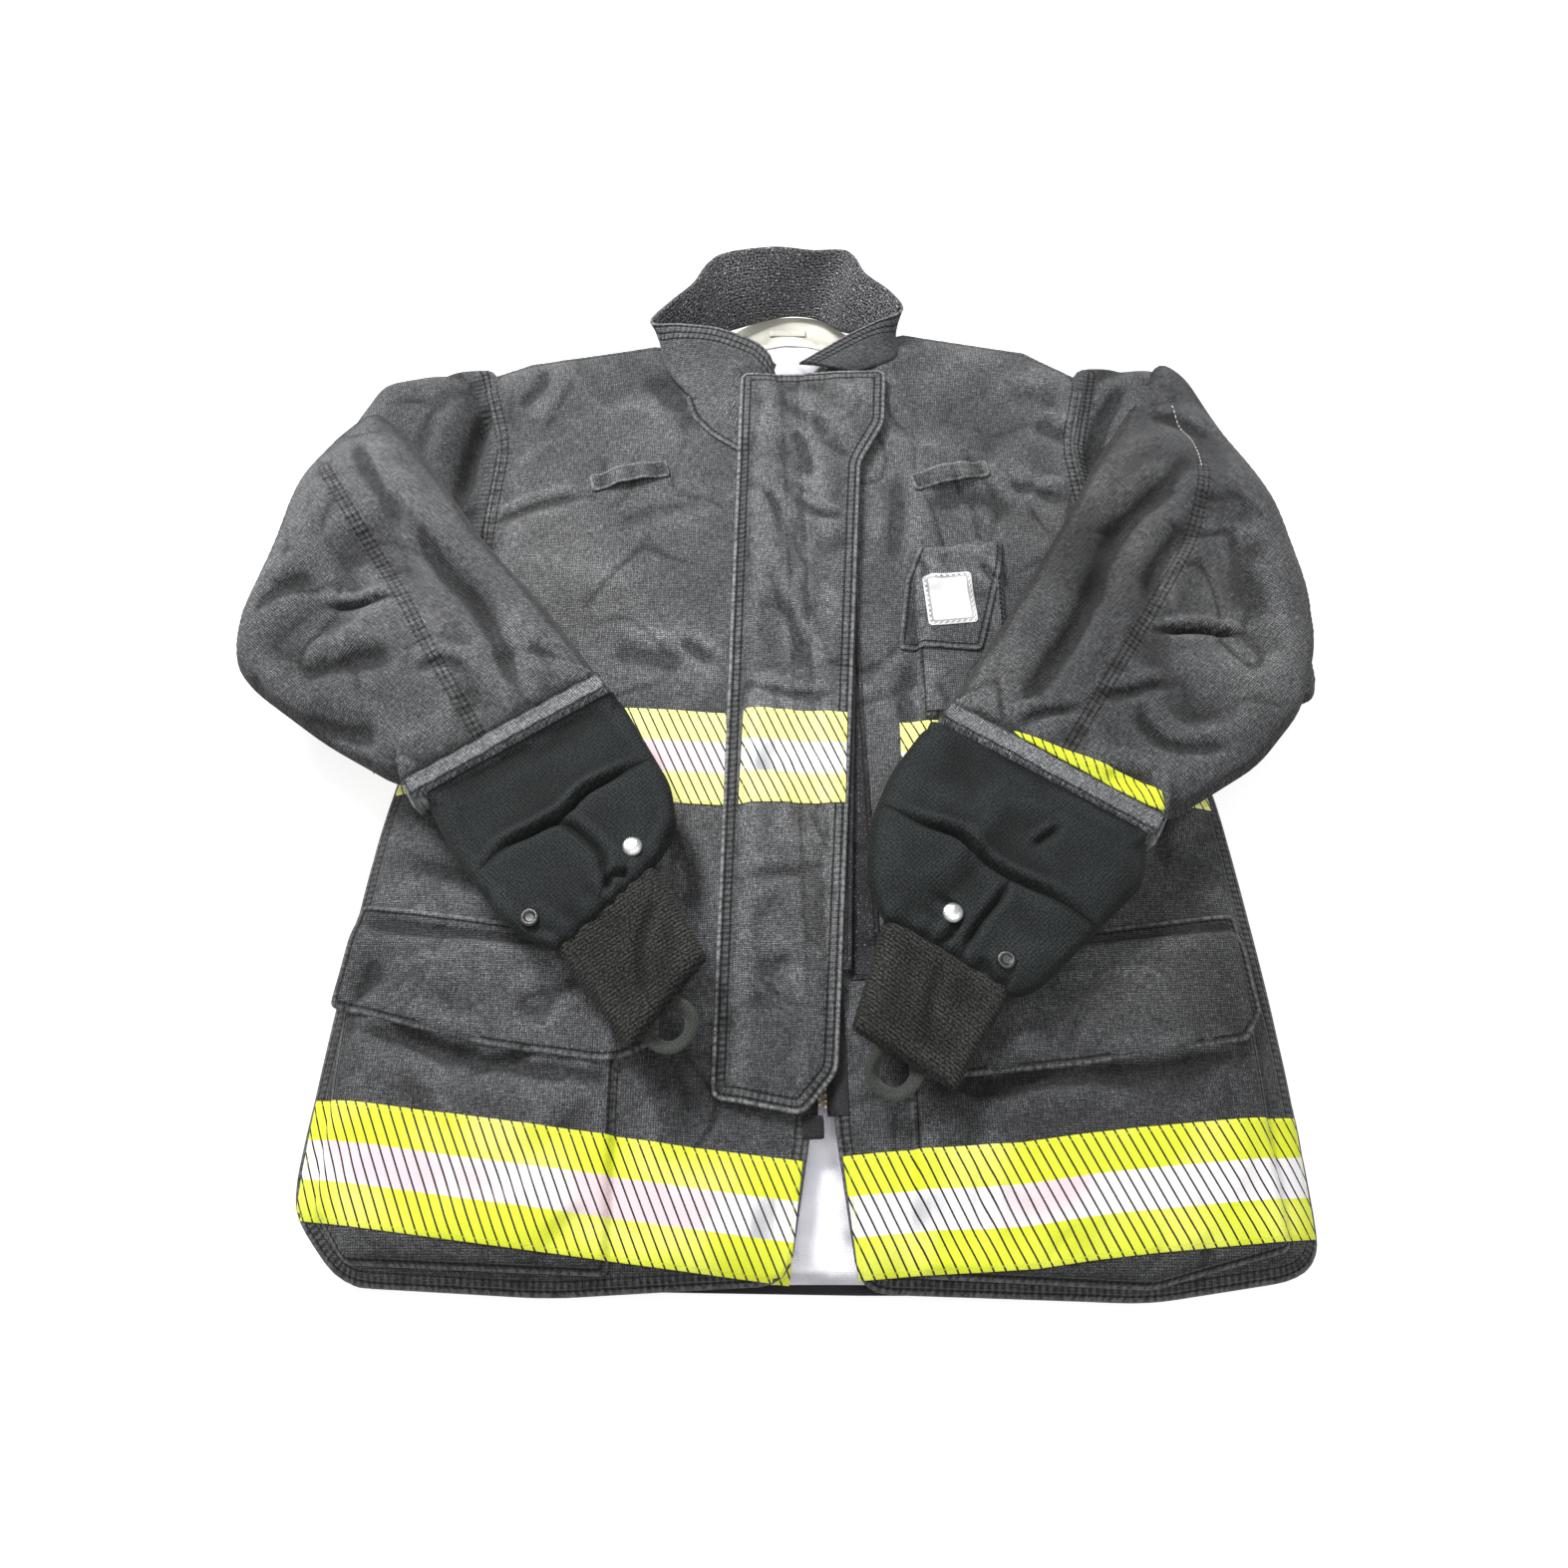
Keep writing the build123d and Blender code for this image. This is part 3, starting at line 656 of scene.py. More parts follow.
def shell_cloth(name, rows=ROWS, light=1.0, tint=(0.096, 0.098, 0.102), edge=0.55, puffed=0.4, groove=0.30):
    """Worn black aramid: a fine plain weave, ridges lighter as faded wear and painted highlight, painted
    shade in the creases and from spots, frayed edges and stitch rows in grooves.
    """
    s = Shader(name, roughness=0.88, sheen=0.12, specular=0.18)
    plane = s.uv("weave")
    weave = s.weave(plane, 0.0016)
    speckle = s.noise(plane, 1150, 1.0)
    coarse = s.noise(plane, 400, 1.5)
    warp = s.noise(s.node("Mapping", Vector=plane, Scale=(1.0, 7.0, 1.0)), 130, 2.0)
    weft = s.noise(s.node("Mapping", Vector=plane, Scale=(7.0, 1.0, 1.0)), 130, 2.0)
    patch = s.noise(plane, 15, 3.0, 0.55)
    broad = s.noise(plane, 5, 2.0)
    fade = s.math("ADD", s.ramp(patch, 0.35, 0.68, 0.84, 1.14), s.ramp(broad, 0.3, 0.7, -0.12, 0.12))
    grain = s.mul(s.ramp(speckle, 0.34, 0.68, 0.42, 1.75), s.ramp(weave, 0.15, 0.95, 0.46, 1.34))
    grain = s.mul(grain, s.ramp(coarse, 0.34, 0.66, 0.84, 1.16))
    grain = s.mul(grain, s.ramp(warp, 0.38, 0.62, 0.76, 1.25))
    grain = s.mul(grain, s.ramp(weft, 0.38, 0.62, 0.76, 1.25))
    # Painted shade in the creases and painted highlight on the ridges, which also stand for their faded wear;
    # tone brings the painted shade from spots.
    worn = s.attribute("worn")
    crease_shade_and_ridge_light = s.mul(s.ramp(worn, 0.05, 0.5, 0.54, 1.0), s.ramp(worn, 0.5, 0.95, 1.0, 1.42))
    tone = s.attribute("tone")
    colour = s.times((*[c * light for c in tint], 1.0), s.mul(fade, grain))
    colour = s.times(colour, s.mul(crease_shade_and_ridge_light, tone))
    warmer = s.mix(1.0, colour, (1.03, 1.0, 0.92), "MULTIPLY")
    colour = s.mix(s.ramp(broad, 0.45, 0.7, 0.0, 0.35), colour, warmer)
    along, away = s.split(s.uv("seam"))
    size = s.math("ABSOLUTE", away)
    blotch = s.noise(s.node("CombineXYZ", X=along, Y=away), 300, 2.0)
    grooves = 0.0
    if rows:
        grooves = s.row_marks(rows)
        first, last = min(abs(row) for row in rows) * MM, max(rows) * MM
        between = s.mul(s.ramp(size, first - 0.004, first, 0.0, 1.0),
                         s.ramp(size, last, last + 0.003, 1.0, 0.0))
        rungs = s.math("SINE", s.mul(along, 2 * math.pi / (STITCH_STEP * MM)))
        puffs = s.mul(s.ramp(rungs, -0.7, 0.9), s.ramp(blotch, 0.40, 0.60, 0.35, 1.0))
        raised = s.mul(between, s.mul(puffs, puffed))
        colour = s.mix(raised, colour, (0.20, 0.205, 0.21))
        colour = s.times(colour, s.ramp(grooves, 0.0, 1.0, 1.0, groove))
    if edge:
        fray = s.mul(s.ramp(size, 0.0002, 0.0020, 1.0, 0.0), s.ramp(blotch, 0.38, 0.60, 0.15, 1.0))
        colour = s.mix(s.mul(fray, edge), colour, (0.34, 0.345, 0.35))
    height = s.math("MULTIPLY_ADD", weave, 0.30, s.mul(s.math("ADD", warp, weft), 0.30))
    height = s.math("SUBTRACT", height, s.mul(grooves, 1.3))
    if rows:
        height = s.math("ADD", height, s.mul(s.mul(between, rungs), 0.7))
    return s.finish(colour, height, 0.0006, 1.0)


def trim_cloth(name, lime, silver, painted_glare=0.0):
    """Segmented reflective trim: a silver third between two lime thirds, crossed by slanting dark slits, with
    pale patches of painted glare on the lime.
    """
    s = Shader(name, roughness=0.55, sheen=0.0, specular=0.35)
    along, down = s.split(s.uv("weave"))
    share = s.math("DIVIDE", down, TRIM_WIDTH * MM)
    third = s.math("LESS_THAN", s.math("ABSOLUTE", s.math("SUBTRACT", share, 0.5)), 1 / 6)
    plane = s.uv("weave")
    hue = s.noise(plane, 9, 2.0)
    blush = s.mix(s.ramp(hue, 0.46, 0.62), silver, (0.80, 0.62, 0.66))
    streak = s.noise(s.node("Mapping", Vector=plane, Scale=(1.0, 0.12, 1.0)), 60, 2.0)
    grey = s.mul(s.ramp(hue, 0.34, 0.46, 1.0, 0.0), s.ramp(streak, 0.4, 0.62))
    blush = s.mix(grey, blush, (0.34, 0.35, 0.37))
    # Painted glare: pale patches on the lime, which cover up to all of it on the paler copy of the trim.
    lit = s.mix(s.ramp(s.noise(plane, 13, 1.0), 0.45, 0.7, 0.0, 0.5 + painted_glare / 2), lime, (0.93, 0.93, 0.30))
    colour = s.mix(third, lit, blush)
    slant = s.math("MULTIPLY_ADD", down, -math.tan(math.radians(25)), along)
    phase = s.math("FRACT", s.mul(slant, 1 / 0.0074))
    gap = s.math("ABSOLUTE", s.math("SUBTRACT", phase, 0.5))
    slit = s.ramp(gap, 0.395, 0.43)
    colour = s.mix(slit, colour, (0.02, 0.02, 0.018))
    _, away = s.split(s.uv("seam"))
    stitched = s.row_marks((2.4,), 0.0005)
    colour = s.mix(s.mul(stitched, 0.5), colour, (0.60, 0.66, 0.05))
    fine = s.noise(plane, 900, 1.0)
    colour = s.times(colour, s.ramp(fine, 0.3, 0.7, 0.93, 1.05))
    height = s.math("SUBTRACT", s.mul(fine, 0.15), slit)
    return s.finish(colour, height, 0.0004, 0.8, s.ramp(third, 0.0, 1.0, 0.6, 0.35))


def plain_cloth(name, tint, pitch, contrast=0.35, roughness=0.8, sheen=0.1, rows=(), ribs=None, specks=0.0):
    """Smaller cloths: a weave of a given pitch, or ribs across a direction, mottled, with specks of lint,
    painted shade in the creases and from spots, and painted highlight on the ridges.
    """
    s = Shader(name, roughness=roughness, sheen=sheen, specular=0.25)
    plane = s.uv("weave")
    x, y = s.split(plane)
    if ribs:
        phase = s.math("ADD", s.mul(x, ribs[0]), s.mul(y, ribs[1]))
        weave = s.math("MULTIPLY_ADD", s.math("SINE", s.mul(phase, 2 * math.pi / pitch)), 0.5, 0.5)
    else:
        weave = s.weave(plane, pitch)
    speckle = s.noise(plane, 1.6 / pitch, 1.0)
    patch = s.noise(plane, 22, 3.0)
    tone = s.mul(s.ramp(speckle, 0.35, 0.65, 1 - contrast, 1 + contrast),
                  s.ramp(weave, 0.1, 0.9, 1 - contrast / 2, 1 + contrast / 2))
    tone = s.mul(tone, s.ramp(patch, 0.3, 0.7, 0.82, 1.16))
    # Painted shade in the creases, painted highlight on the ridges and painted shade from spots.
    worn = s.attribute("worn")
    tone = s.mul(tone, s.ramp(worn, 0.1, 0.9, 0.68, 1.3))
    tone = s.mul(tone, s.attribute("tone"))
    colour = s.times((*tint, 1.0), tone)
    if specks:
        lint = s.ramp(s.noise(plane, 520, 0.0), 0.70, 0.78, 0.0, specks)
        colour = s.mix(lint, colour, (0.55, 0.55, 0.56))
    height = s.math("MULTIPLY_ADD", weave, 0.5, s.mul(speckle, 0.5))
    if rows:
        grooves = s.row_marks(rows)
        colour = s.times(colour, s.ramp(grooves, 0.0, 1.0, 1.0, 0.45))
        height = s.math("SUBTRACT", height, grooves)
    return s.finish(colour, height, pitch * 0.35, 0.7)


def solid(name, tint, roughness, metallic=0.0, scale=120, contrast=0.25):
    """Metal, thread or a moulded part: uneven in colour and gloss, with fine scratches."""
    s = Shader(name, roughness=roughness, specular=0.4, metallic=metallic)
    place = s.node("TexCoord", output=3)
    uneven = s.noise(place, scale, 3.0)
    scratch = s.noise(s.node("Mapping", Vector=place, Scale=(1.0, 9.0, 1.0)), scale * 6, 2.0)
    colour = s.times((*tint, 1.0), s.ramp(uneven, 0.3, 0.7, 1 - contrast, 1 + contrast))
    gloss = s.ramp(scratch, 0.3, 0.7, roughness * 0.75, min(roughness * 1.3, 1))
    return s.finish(colour, scratch, 0.0002, 0.4, gloss)


SHELL = shell_cloth("shell_cloth", rows=(1.4, 6.0), edge=0.0, puffed=0.12)
SLEEVE = shell_cloth("shell_cloth_sleeve", rows=(-4.2, 0.0, 4.2), light=0.94, edge=0.0, puffed=0.10,
                     groove=0.55)
EDGED = shell_cloth("shell_cloth_edged", edge=0.8)
FRONTS = shell_cloth("shell_cloth_fronts", edge=0.25, puffed=0.3, groove=0.40)
TAB = shell_cloth("shell_cloth_tab", rows=(), light=0.80, edge=0.6)
HEMMED = shell_cloth("shell_cloth_hemmed", rows=HEM_ROW, light=0.92, edge=0.35, puffed=0.1)
POCKET = shell_cloth("shell_cloth_pocket", rows=HEM_ROW, light=0.90, edge=0.3, puffed=0.1)
BACKED = shell_cloth("shell_cloth_inside", rows=(), light=0.45, edge=0.0)
COLLAR = shell_cloth("shell_cloth_collar", rows=(2.6, 8.0, 13.0), light=1.1)
BINDING = shell_cloth("grey_binding", rows=(3.4,), light=0.92, tint=(0.115, 0.118, 0.124), edge=0.75,
                      puffed=0.1)
LINER = plain_cloth("quilted_liner", (0.86, 0.85, 0.91), 0.0016, 0.06, 0.4, 0.2)
CREAM = plain_cloth("label_cloth", (0.66, 0.645, 0.56), 0.0014, 0.08, 0.7, 0.1)
PATCH = plain_cloth("label_patch_cloth", (0.86, 0.86, 0.87), 0.0012, 0.05, 0.6, 0.1, rows=(3.2,))
BARRIER = plain_cloth("moisture_barrier", (0.75, 0.72, 0.6), 0.0016, 0.1, 0.5, 0.1)
WOOL = plain_cloth("collar_wool", (0.066, 0.066, 0.071), 0.0026, 0.98, 0.95, 0.3, specks=0.9)
LOOPS = plain_cloth("hook_and_loop", (0.030, 0.028, 0.031), 0.0017, 0.7, 0.95, 0.2, rows=(2.5,), specks=0.25)
WELL = plain_cloth("well_cloth", (0.0130, 0.0154, 0.0156), 0.0024, 0.50, 0.85, 0.05, rows=(0.0,))
KNIT = plain_cloth("black_knit", (0.0195, 0.0193, 0.0180), 0.0026, 0.75, 0.95, 0.12, ribs=(0.12, 1.0))
TAPE = plain_cloth("black_webbing", (0.022, 0.022, 0.024), 0.0018, 0.4, 0.8, 0.1, ribs=(0.45, 1.0))
LOOP_TAPE = plain_cloth("grey_webbing", (0.045, 0.048, 0.043), 0.0016, 0.45, 0.85, 0.1, ribs=(1.0, 0.4))
# The chest trim is a paler copy of the same trim: painted glare of its retroreflection on the lime and the
# silver.
TRIM_PAINTED_GLARE = trim_cloth("reflective_trim_painted_glare", (0.90, 0.90, 0.33), (0.93, 0.92, 0.93), painted_glare=1.0)
TRIM_LIME = trim_cloth("reflective_trim", (0.70, 0.77, 0.030), (0.87, 0.85, 0.87))
PALE_THREAD = solid("frayed_thread", (0.62, 0.62, 0.60), 0.9)
THREAD_DARK = solid("black_thread", (0.020, 0.020, 0.022), 0.8)
THREAD_GREY = solid("grey_thread", (0.14, 0.14, 0.14), 0.8)
BRASS = solid("brass_zip", (0.52, 0.40, 0.20), 0.35, 1.0)
SNAP = solid("snap_metal", (0.78, 0.78, 0.78), 0.28, 1.0, 300, 0.1)
SNAP_DARK = solid("snap_metal_dark", (0.10, 0.10, 0.10), 0.35, 1.0, 300, 0.1)


# ---------------------------------------------------------------- pieces
def done(piece, body, stands_for=(), kind="sheet", bend=None):
    """Finishes a piece: with a bend it only bakes the piece's transform, otherwise it parents it to the empty
    of the body it moves with; then it hides the CAD nodes it stands for.
    """
    if kind == "sheet":
        tuple(piece["flat_size"])
        piece["flat_area"]
    if bend:
        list(bend)
        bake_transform(piece)
    else:
        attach(piece, body)
    if stands_for:
        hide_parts(*stands_for)
    return piece


def cloth(name, body, slot, stands_for, outline, top, bottom, materials, kind="sheet", bend=None, **cut):
    """A slab of cloth, made and finished."""
    return done(slab(name, outline, top, bottom, materials, **cut), body, stands_for, kind, bend)


def sew(name, body, cloths, rows, material=THREAD_DARK, thread=THREAD, bend=None):
    """Rows of stitches on some pieces, made and finished."""
    return done(stitches(name, cloths, rows, material, thread), body, (), None, bend)


# ---------------------------------------------------------------- levels, outlines and creases
FRONT = level("right_front_shell", 1)
SEAM = level("right_front_shell", 0)
FLAP = level("storm_flap", 0)
UPPER = (level("right_upper_sleeve_liner", 0) - 3, 52.0)
FOREARM = (level("right_forearm", 0), level("right_forearm", 1))
WELL_TOP = level("right_water_well", 1)
WRIST = (level("right_wristlet", 0), level("right_wristlet", 1))
LOW = SEAM + 3       # the lowest that the trim on the fronts comes at their edges
BACK_HEM = -423      # where the back ends, a little above the fronts' hem

SIGN = pair(-1, 1)
BACK_PLAN = grown(plan("back_thermal_liner"), 4.0)
BACK_PLAN[:, 1] = np.maximum(BACK_PLAN[:, 1], BACK_HEM)
FRONT_PLAN = {side: rounded(plan(f"{side}_front_shell"), 18) for side in BOTH}

# Painted shade on the cloth, where shade falls towards the hem and the sides, below the pocket flaps and in a
# few smaller places: (x, y, half-width, half-height, share of the colour there).
TORSO_SHADE_SPOTS = [(0, -100, 900, 900, 0.90), (-335, -200, 85, 190, 0.62), (350, -200, 90, 210, 0.48),
               (215, -255, 125, 120, 0.74), (0, -450, 700, 68, 0.22), (0, -300, 500, 40, 0.82),
               (-140, 335, 60, 26, 0.75), (200, 165, 60, 22, 0.75), (60, -312, 120, 46, 0.80),
               (-60, -305, 60, 40, 0.80)]
# Painted shade on the sleeves, in the valleys beside the forearms and towards their outer edges.
SLEEVE_SHADE_SPOTS = pair(
    [(-266, 230, 26, 75, 0.50), (-300, 290, 40, 26, 0.75), (-330, 262, 60, 34, 0.85),
     (-405, 10, 40, 60, 0.75), (-300, 60, 900, 900, 0.84), (-330, -40, 90, 50, 0.72),
     (-232, 70, 26, 90, 0.80)],
    [(300, 190, 72, 110, 0.62), (232, 95, 30, 48, 0.62), (400, 130, 36, 130, 0.62), (300, 60, 900, 900, 0.80),
     (215, 50, 66, 130, 0.52), (300, -50, 90, 40, 0.80)])

# Creases, from above: (route, height, half-width, lip).
FRONT_FOLDS = pair(
    [([(-240, 156), (-202, 172), (-163, 183)], -2.2, 5, 0.8),
     ([(-80, 46), (-66, 34), (-52, 24)], -3.0, 5, 1.2),
     ([(-140, 36), (-104, 30), (-70, 22)], -2.6, 12, 1.0),
     ([(-118, 322), (-92, 280), (-70, 240)], -2.5, 14, 1.0),
     ([(-205, 326), (-212, 295), (-232, 268)], -2.4, 9, 1.4),
     ([(-232, 128), (-170, 112), (-110, 96)], 1.4, 16, 0.0),
     ([(-60, 180), (-110, 166), (-150, 150)], -1.2, 10, 0.6),
     ([(-300, -130), (-230, -150), (-160, -150)], -2.0, 10, 1.0),
     ([(-110, -90), (-70, -140), (-62, -200)], -1.6, 9, 0.8)],
    [([(180, 195), (205, 188), (232, 177)], -2.6, 7, 1.0),
     ([(112, 168), (155, 182), (200, 160)], -3.2, 13, 1.0),
     ([(212, 262), (228, 252), (244, 243)], -2.8, 9, 1.0),
     ([(92, 214), (92, 160), (84, 110)], -2.4, 10, 1.2),
     ([(170, 293), (200, 306), (238, 312)], 1.8, 12, 0.0),
     ([(196, 172), (212, 190), (240, 200)], 1.5, 6, 0.0),
     ([(104, 30), (92, 0), (96, -40)], -2.6, 9, 1.2),
     ([(300, -60), (276, -110), (284, -160)], -2.4, 12, 1.0),
     ([(92, -110), (100, -160), (84, -196)], -1.8, 8, 1.0)])
STORM_FOLDS = [
    ([(10, 172), (26, 158), (50, 152)], -2.0, 3.6, 1.0),
    ([(-34, 196), (-8, 168), (-4, 132)], -1.4, 5, 0.8),
    ([(4, 250), (18, 220), (22, 186)], -1.4, 4, 0.8),
    ([(-40, -60), (-10, -74), (20, -70)], -1.6, 5, 0.8),
    ([(-15, 106), (4, 62), (24, 8)], -1.4, 5, 0.8),
    ([(-36, 6), (0, -6), (38, -10)], -1.6, 4.5, 0.9),
    ([(-40, -156), (-6, -150), (32, -146)], -1.0, 5, 0.6),
    ([(-14, 276), (26, 250), (54, 206)], -1.3, 8, 0.8),
    ([(-24, -226), (0, -214), (24, -220)], -0.9, 7, 0.5),
    ([(20, 190), (36, 150), (30, 110)], 1.0, 8, 0.0),
]

# ---------------------------------------------------------------- back, fronts and their liners
ARMHOLES = lines([(-264, 314), (-242, 235), (-249, 132)], [(264, 312), (247, 235), (256, 146)])
SIDE_SEAMS = pair(
    smooth_line([(-249, 132), (-272, 20), (-300, -124), (-318, -310), (-321, -377), (-290, -424)], 30),
    smooth_line([(254, 146), (290, 30), (322, -84), (340, -250), (346, -400), (334, -425)], 30))
SHOULDERS = lines([(-60, 348), (-115, 353), (-222, 333), (-262, 316)],
                  [(60, 352), (106, 367), (212, 346), (262, 314)])
HEMS = lines([(-282, -422), (-150, -429), (2, -421)], [(49, -426), (233, -432), (330, -418)])


def drop(points, line, reach):
    """0 along a line and 1 at a distance called reach from it."""
    return dome(distance(points, line), reach)


def back_outside(points):
    """Underside of the back: flat on the floor, turning up to the side seams and the shoulders."""
    lift = np.ones(len(points))
    for side in BOTH:
        lift = np.minimum(lift, drop(points, SIDE_SEAMS[side], 42))
        lift = np.minimum(lift, drop(points, SHOULDERS[side], 30))
    return (SEAM - 1.5) * (1 - lift)


def quilting(points, size=44.0, depth=1.4):
    """Diamond channels sewn through a liner."""
    a = np.abs(np.sin((points[:, 0] + points[:, 1]) * math.pi / size))
    b = np.abs(np.sin((points[:, 0] - points[:, 1]) * math.pi / size))
    return depth * (np.minimum(a, b) ** 0.5)


def liner_top(points):
    """Top of the back's liner, which swells in the gap between the fronts and inside the collar."""
    x, y = points.T
    gap = 9 * bell(x - 26, 26) * ease((-280 - y) / 40) * ease((y + 428) / 20)
    neck = 9 * bell(x - 4, 60) * bell(y - 352, 34)
    uneven = quilting(points) + 0.8 * ripples(points, 60, 5) + 1.4 * crinkles(points, 24, 8)
    return back_outside(points) * 0.9 + 7.4 + uneven + gap + neck


def liner_outline():
    """The back's liner: a little lower than the back in the gap, and cut to a curve under the collar."""
    outline = spaced(grown(BACK_PLAN, -9.0), 8)
    in_gap = (outline[:, 1] < -395) & (np.abs(outline[:, 0] - 10) < 80)
    outline[in_gap, 1] -= 6
    outline[:, 1] = np.minimum(outline[:, 1], np.maximum(390 - 0.0062 * (outline[:, 0] - 4) ** 2, 330))
    return outline


cloth("back_shell_cloth", "torso", "shell_cloth", ["back_shell"], rounded(BACK_PLAN, 8),
      shifted(back_outside, PLY), back_outside, [BACKED, SHELL], pitch=5.0)
# Painted shade on the liner at the neck, where the collar shades it.
back_liner = cloth("back_liner_quilt", "torso", "quilted_liner", ["back_thermal_liner"], liner_outline(),
                   liner_top, lambda p: back_outside(p) * 0.9 + 5.2, [LINER], "padded", pitch=5.0,
                   spots=[(4, 350, 90, 70, 0.58)])
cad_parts["back_moisture_barrier"].data.materials[0] = BARRIER


def front_shape(side):
    """Top of a front: full in the middle, rolling down to the side seam, the shoulder and the hem."""
    relief = settled(FRONT_PLAN[side], 0.016, 11 + SIGN[side], pins=[SIDE_SEAMS[side]])

    def top(points):
        edge = np.minimum(drop(points, SIDE_SEAMS[side], 40), drop(points, SHOULDERS[side], 34))
        hem = drop(points, HEMS[side], 26)
        base = SEAM + 4 + (FRONT - SEAM - 4) * edge - 11 * (1 - hem) * edge
        away, along = nearest(points, ARMHOLES[side])
        away = np.abs(away)
        pucker = 0.55 * np.sin(along * 0.62 + 1.3 * np.sin(along * 0.17)) * bell(away - 6, 6)
        soft = ease(away / 30) * ease(edge * 1.4 - 0.3)
        worn = 1.2 * crinkles(points, 70, 5 + SIGN[side])
        moved = (0.8 * np.clip(relief(points), -4, 4) - worn) * soft
        wave = 1.6 * np.sin(points[:, 0] / 23 + SIGN[side]) * np.exp(-distance(points, HEMS[side]) / 30)
        fine = 0.12 * ripples(points, 22, 31) * soft
        creases = folds(points, FRONT_FOLDS[side]) - 1.2 * np.exp(-away / 2)
        return base + moved + pucker + wave + fine + creases

    return top


fronts = {}
for side in BOTH:
    top = front_shape(side)
    fronts[side] = cloth(f"{side}_front_cloth", "torso", "shell_cloth", [f"{side}_front_shell"],
                         FRONT_PLAN[side], top, shifted(top, -PLY), [FRONTS, BACKED], seams=EDGE,
                         spots=TORSO_SHADE_SPOTS)
    cloth(f"{side}_front_liner_quilt", "torso", "quilted_liner", [f"{side}_front_liner"],
          grown(FRONT_PLAN[side], -6), shifted(top, -PLY - 0.6),
          lambda p: top(p) - PLY - 2.6 - quilting(p), [LINER], "padded", pitch=6.0)
front_tree = tree_of(fronts["right"], fronts["left"])


def on(surface, lift, lowest):
    """Heights a little above a surface, never below a level where the surface has a gap."""
    return lambda points: np.maximum(cast(surface, points, lowest), lowest) + lift


# ---------------------------------------------------------------- zipper and closure strips
ZIP = np.array([(4, 296), (26, -318)], float)
ZIP_PITCH = 4.0
BLOCK_FACES = ((0, 1, 3, 2), (4, 6, 7, 5), (0, 4, 5, 1), (2, 3, 7, 6), (0, 2, 6, 4), (1, 5, 7, 3))


def tooth_row(side):
    """One side's zipper teeth: small blocks, half a step along from those of the other side."""
    node = f"{side}_zipper_teeth"
    run = ZIP[1] - ZIP[0]
    length = np.linalg.norm(run)
    ahead = run / length
    turn = 1 if nearest(plan(node).mean(0)[None], ZIP)[0][0] > 0 else -1
    across = np.array([-ahead[1], ahead[0]]) * turn
    first_tooth = 3.0 if side == "right" else 5.0
    corners, faces = [], []
    for k in range(int(length / ZIP_PITCH) - 1):
        centre = ZIP[0] + ahead * (ZIP_PITCH * k + first_tooth)
        faces += [[len(corners) + i for i in quad] for quad in BLOCK_FACES]
        for z in (level(node, 0), level(node, 1)):
            for out, wide in ((0.9, 0.7), (3.1, 1.0)):
                for sign in (-1, 1):
                    corners.append((*(centre + across * out + ahead * sign * wide), z))
    return make_object(f"{side}_zipper_chain", corners, faces, [BRASS])


for side in BOTH:
    cloth(f"{side}_zipper_tape_cloth", "torso", "black_webbing", [f"{side}_zipper_tape"],
          plan(f"{side}_zipper_tape"), on(front_tree, 1.2, FRONT - 3), on(front_tree, 0.2, FRONT - 3), [TAPE],
          None, pitch=4.0)
    done(tooth_row(side), "torso", [f"{side}_zipper_teeth"], None)
for node in ("zipper_slider", "zipper_pull"):
    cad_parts[node].data.materials[0] = BRASS

LOOP_PLAN = np.array([(46, -226), (68, -226), (60, -20), (54, 209), (40, 209)], float)
cloth("closure_loop_cloth", "torso", "hook_and_loop", ["closure_loop_strip"], LOOP_PLAN,
      lambda p: on(front_tree, 1.6, FRONT - 2)(p) + 0.3 * ripples(p, 9, 3), on(front_tree, 0.2, FRONT - 2),
      [LOOPS], seams=EDGE)


# ---------------------------------------------------------------- pockets, tabs and trim on the fronts
POCKET_FOLDS = pair(
    [([(-318, -254), (-260, -268), (-200, -284), (-116, -294), (-84, -280)], -3.5, 7, 0.0),
     ([(-270, -256), (-220, -280), (-186, -270)], -5.0, 9, 3.0),
     ([(-214, -296), (-190, -284), (-160, -270)], -3.2, 6, 1.8),
     ([(-152, -402), (-130, -384), (-118, -400)], -2.0, 7, 1.0)],
    [([(88, -302), (200, -294), (300, -280), (330, -256)], -3.5, 7, 0.0),
     ([(116, -292), (142, -302), (186, -282)], -4.0, 9, 3.0),
     ([(200, -288), (250, -300), (296, -284)], -3.0, 12, 1.6),
     ([(128, -345), (127, -372), (126, -400)], -2.6, 5, 1.6)])


def pocket(side):
    """A cargo pocket: its bellows stand a little above the front, softly creased."""
    outline = rounded(plan(f"{side}_cargo_pocket"), 6)
    under = on(front_tree, 0.3, SEAM + 4)
    relief = settled(outline, 0.018, 21 + SIGN[side])

    def top(points):
        depth = distance(points, outline, True)
        creases = folds(points, POCKET_FOLDS[side]) * ease(depth / 12)
        moved = np.clip(relief(points), -3, 4) * ease(depth / 25)
        return under(points) + 1.6 + 6.5 * dome(depth, 9) + moved + creases

    return cloth(f"{side}_pocket_cloth", "torso", "shell_cloth", [f"{side}_cargo_pocket"], outline, top,
                 under, [POCKET], "padded", seams=EDGE, spots=TORSO_SHADE_SPOTS)


RADIO_PLAN = plan("radio_pocket")
radio_under = on(front_tree, 0.3, FRONT - 4)


def radio_top(points):
    """Top of the radio pocket, a narrow boxed pocket."""
    rise = 5.0 * dome(distance(points, RADIO_PLAN, True), 5)
    return radio_under(points) + 1.5 + rise + 0.8 * ripples(points, 40, 8)


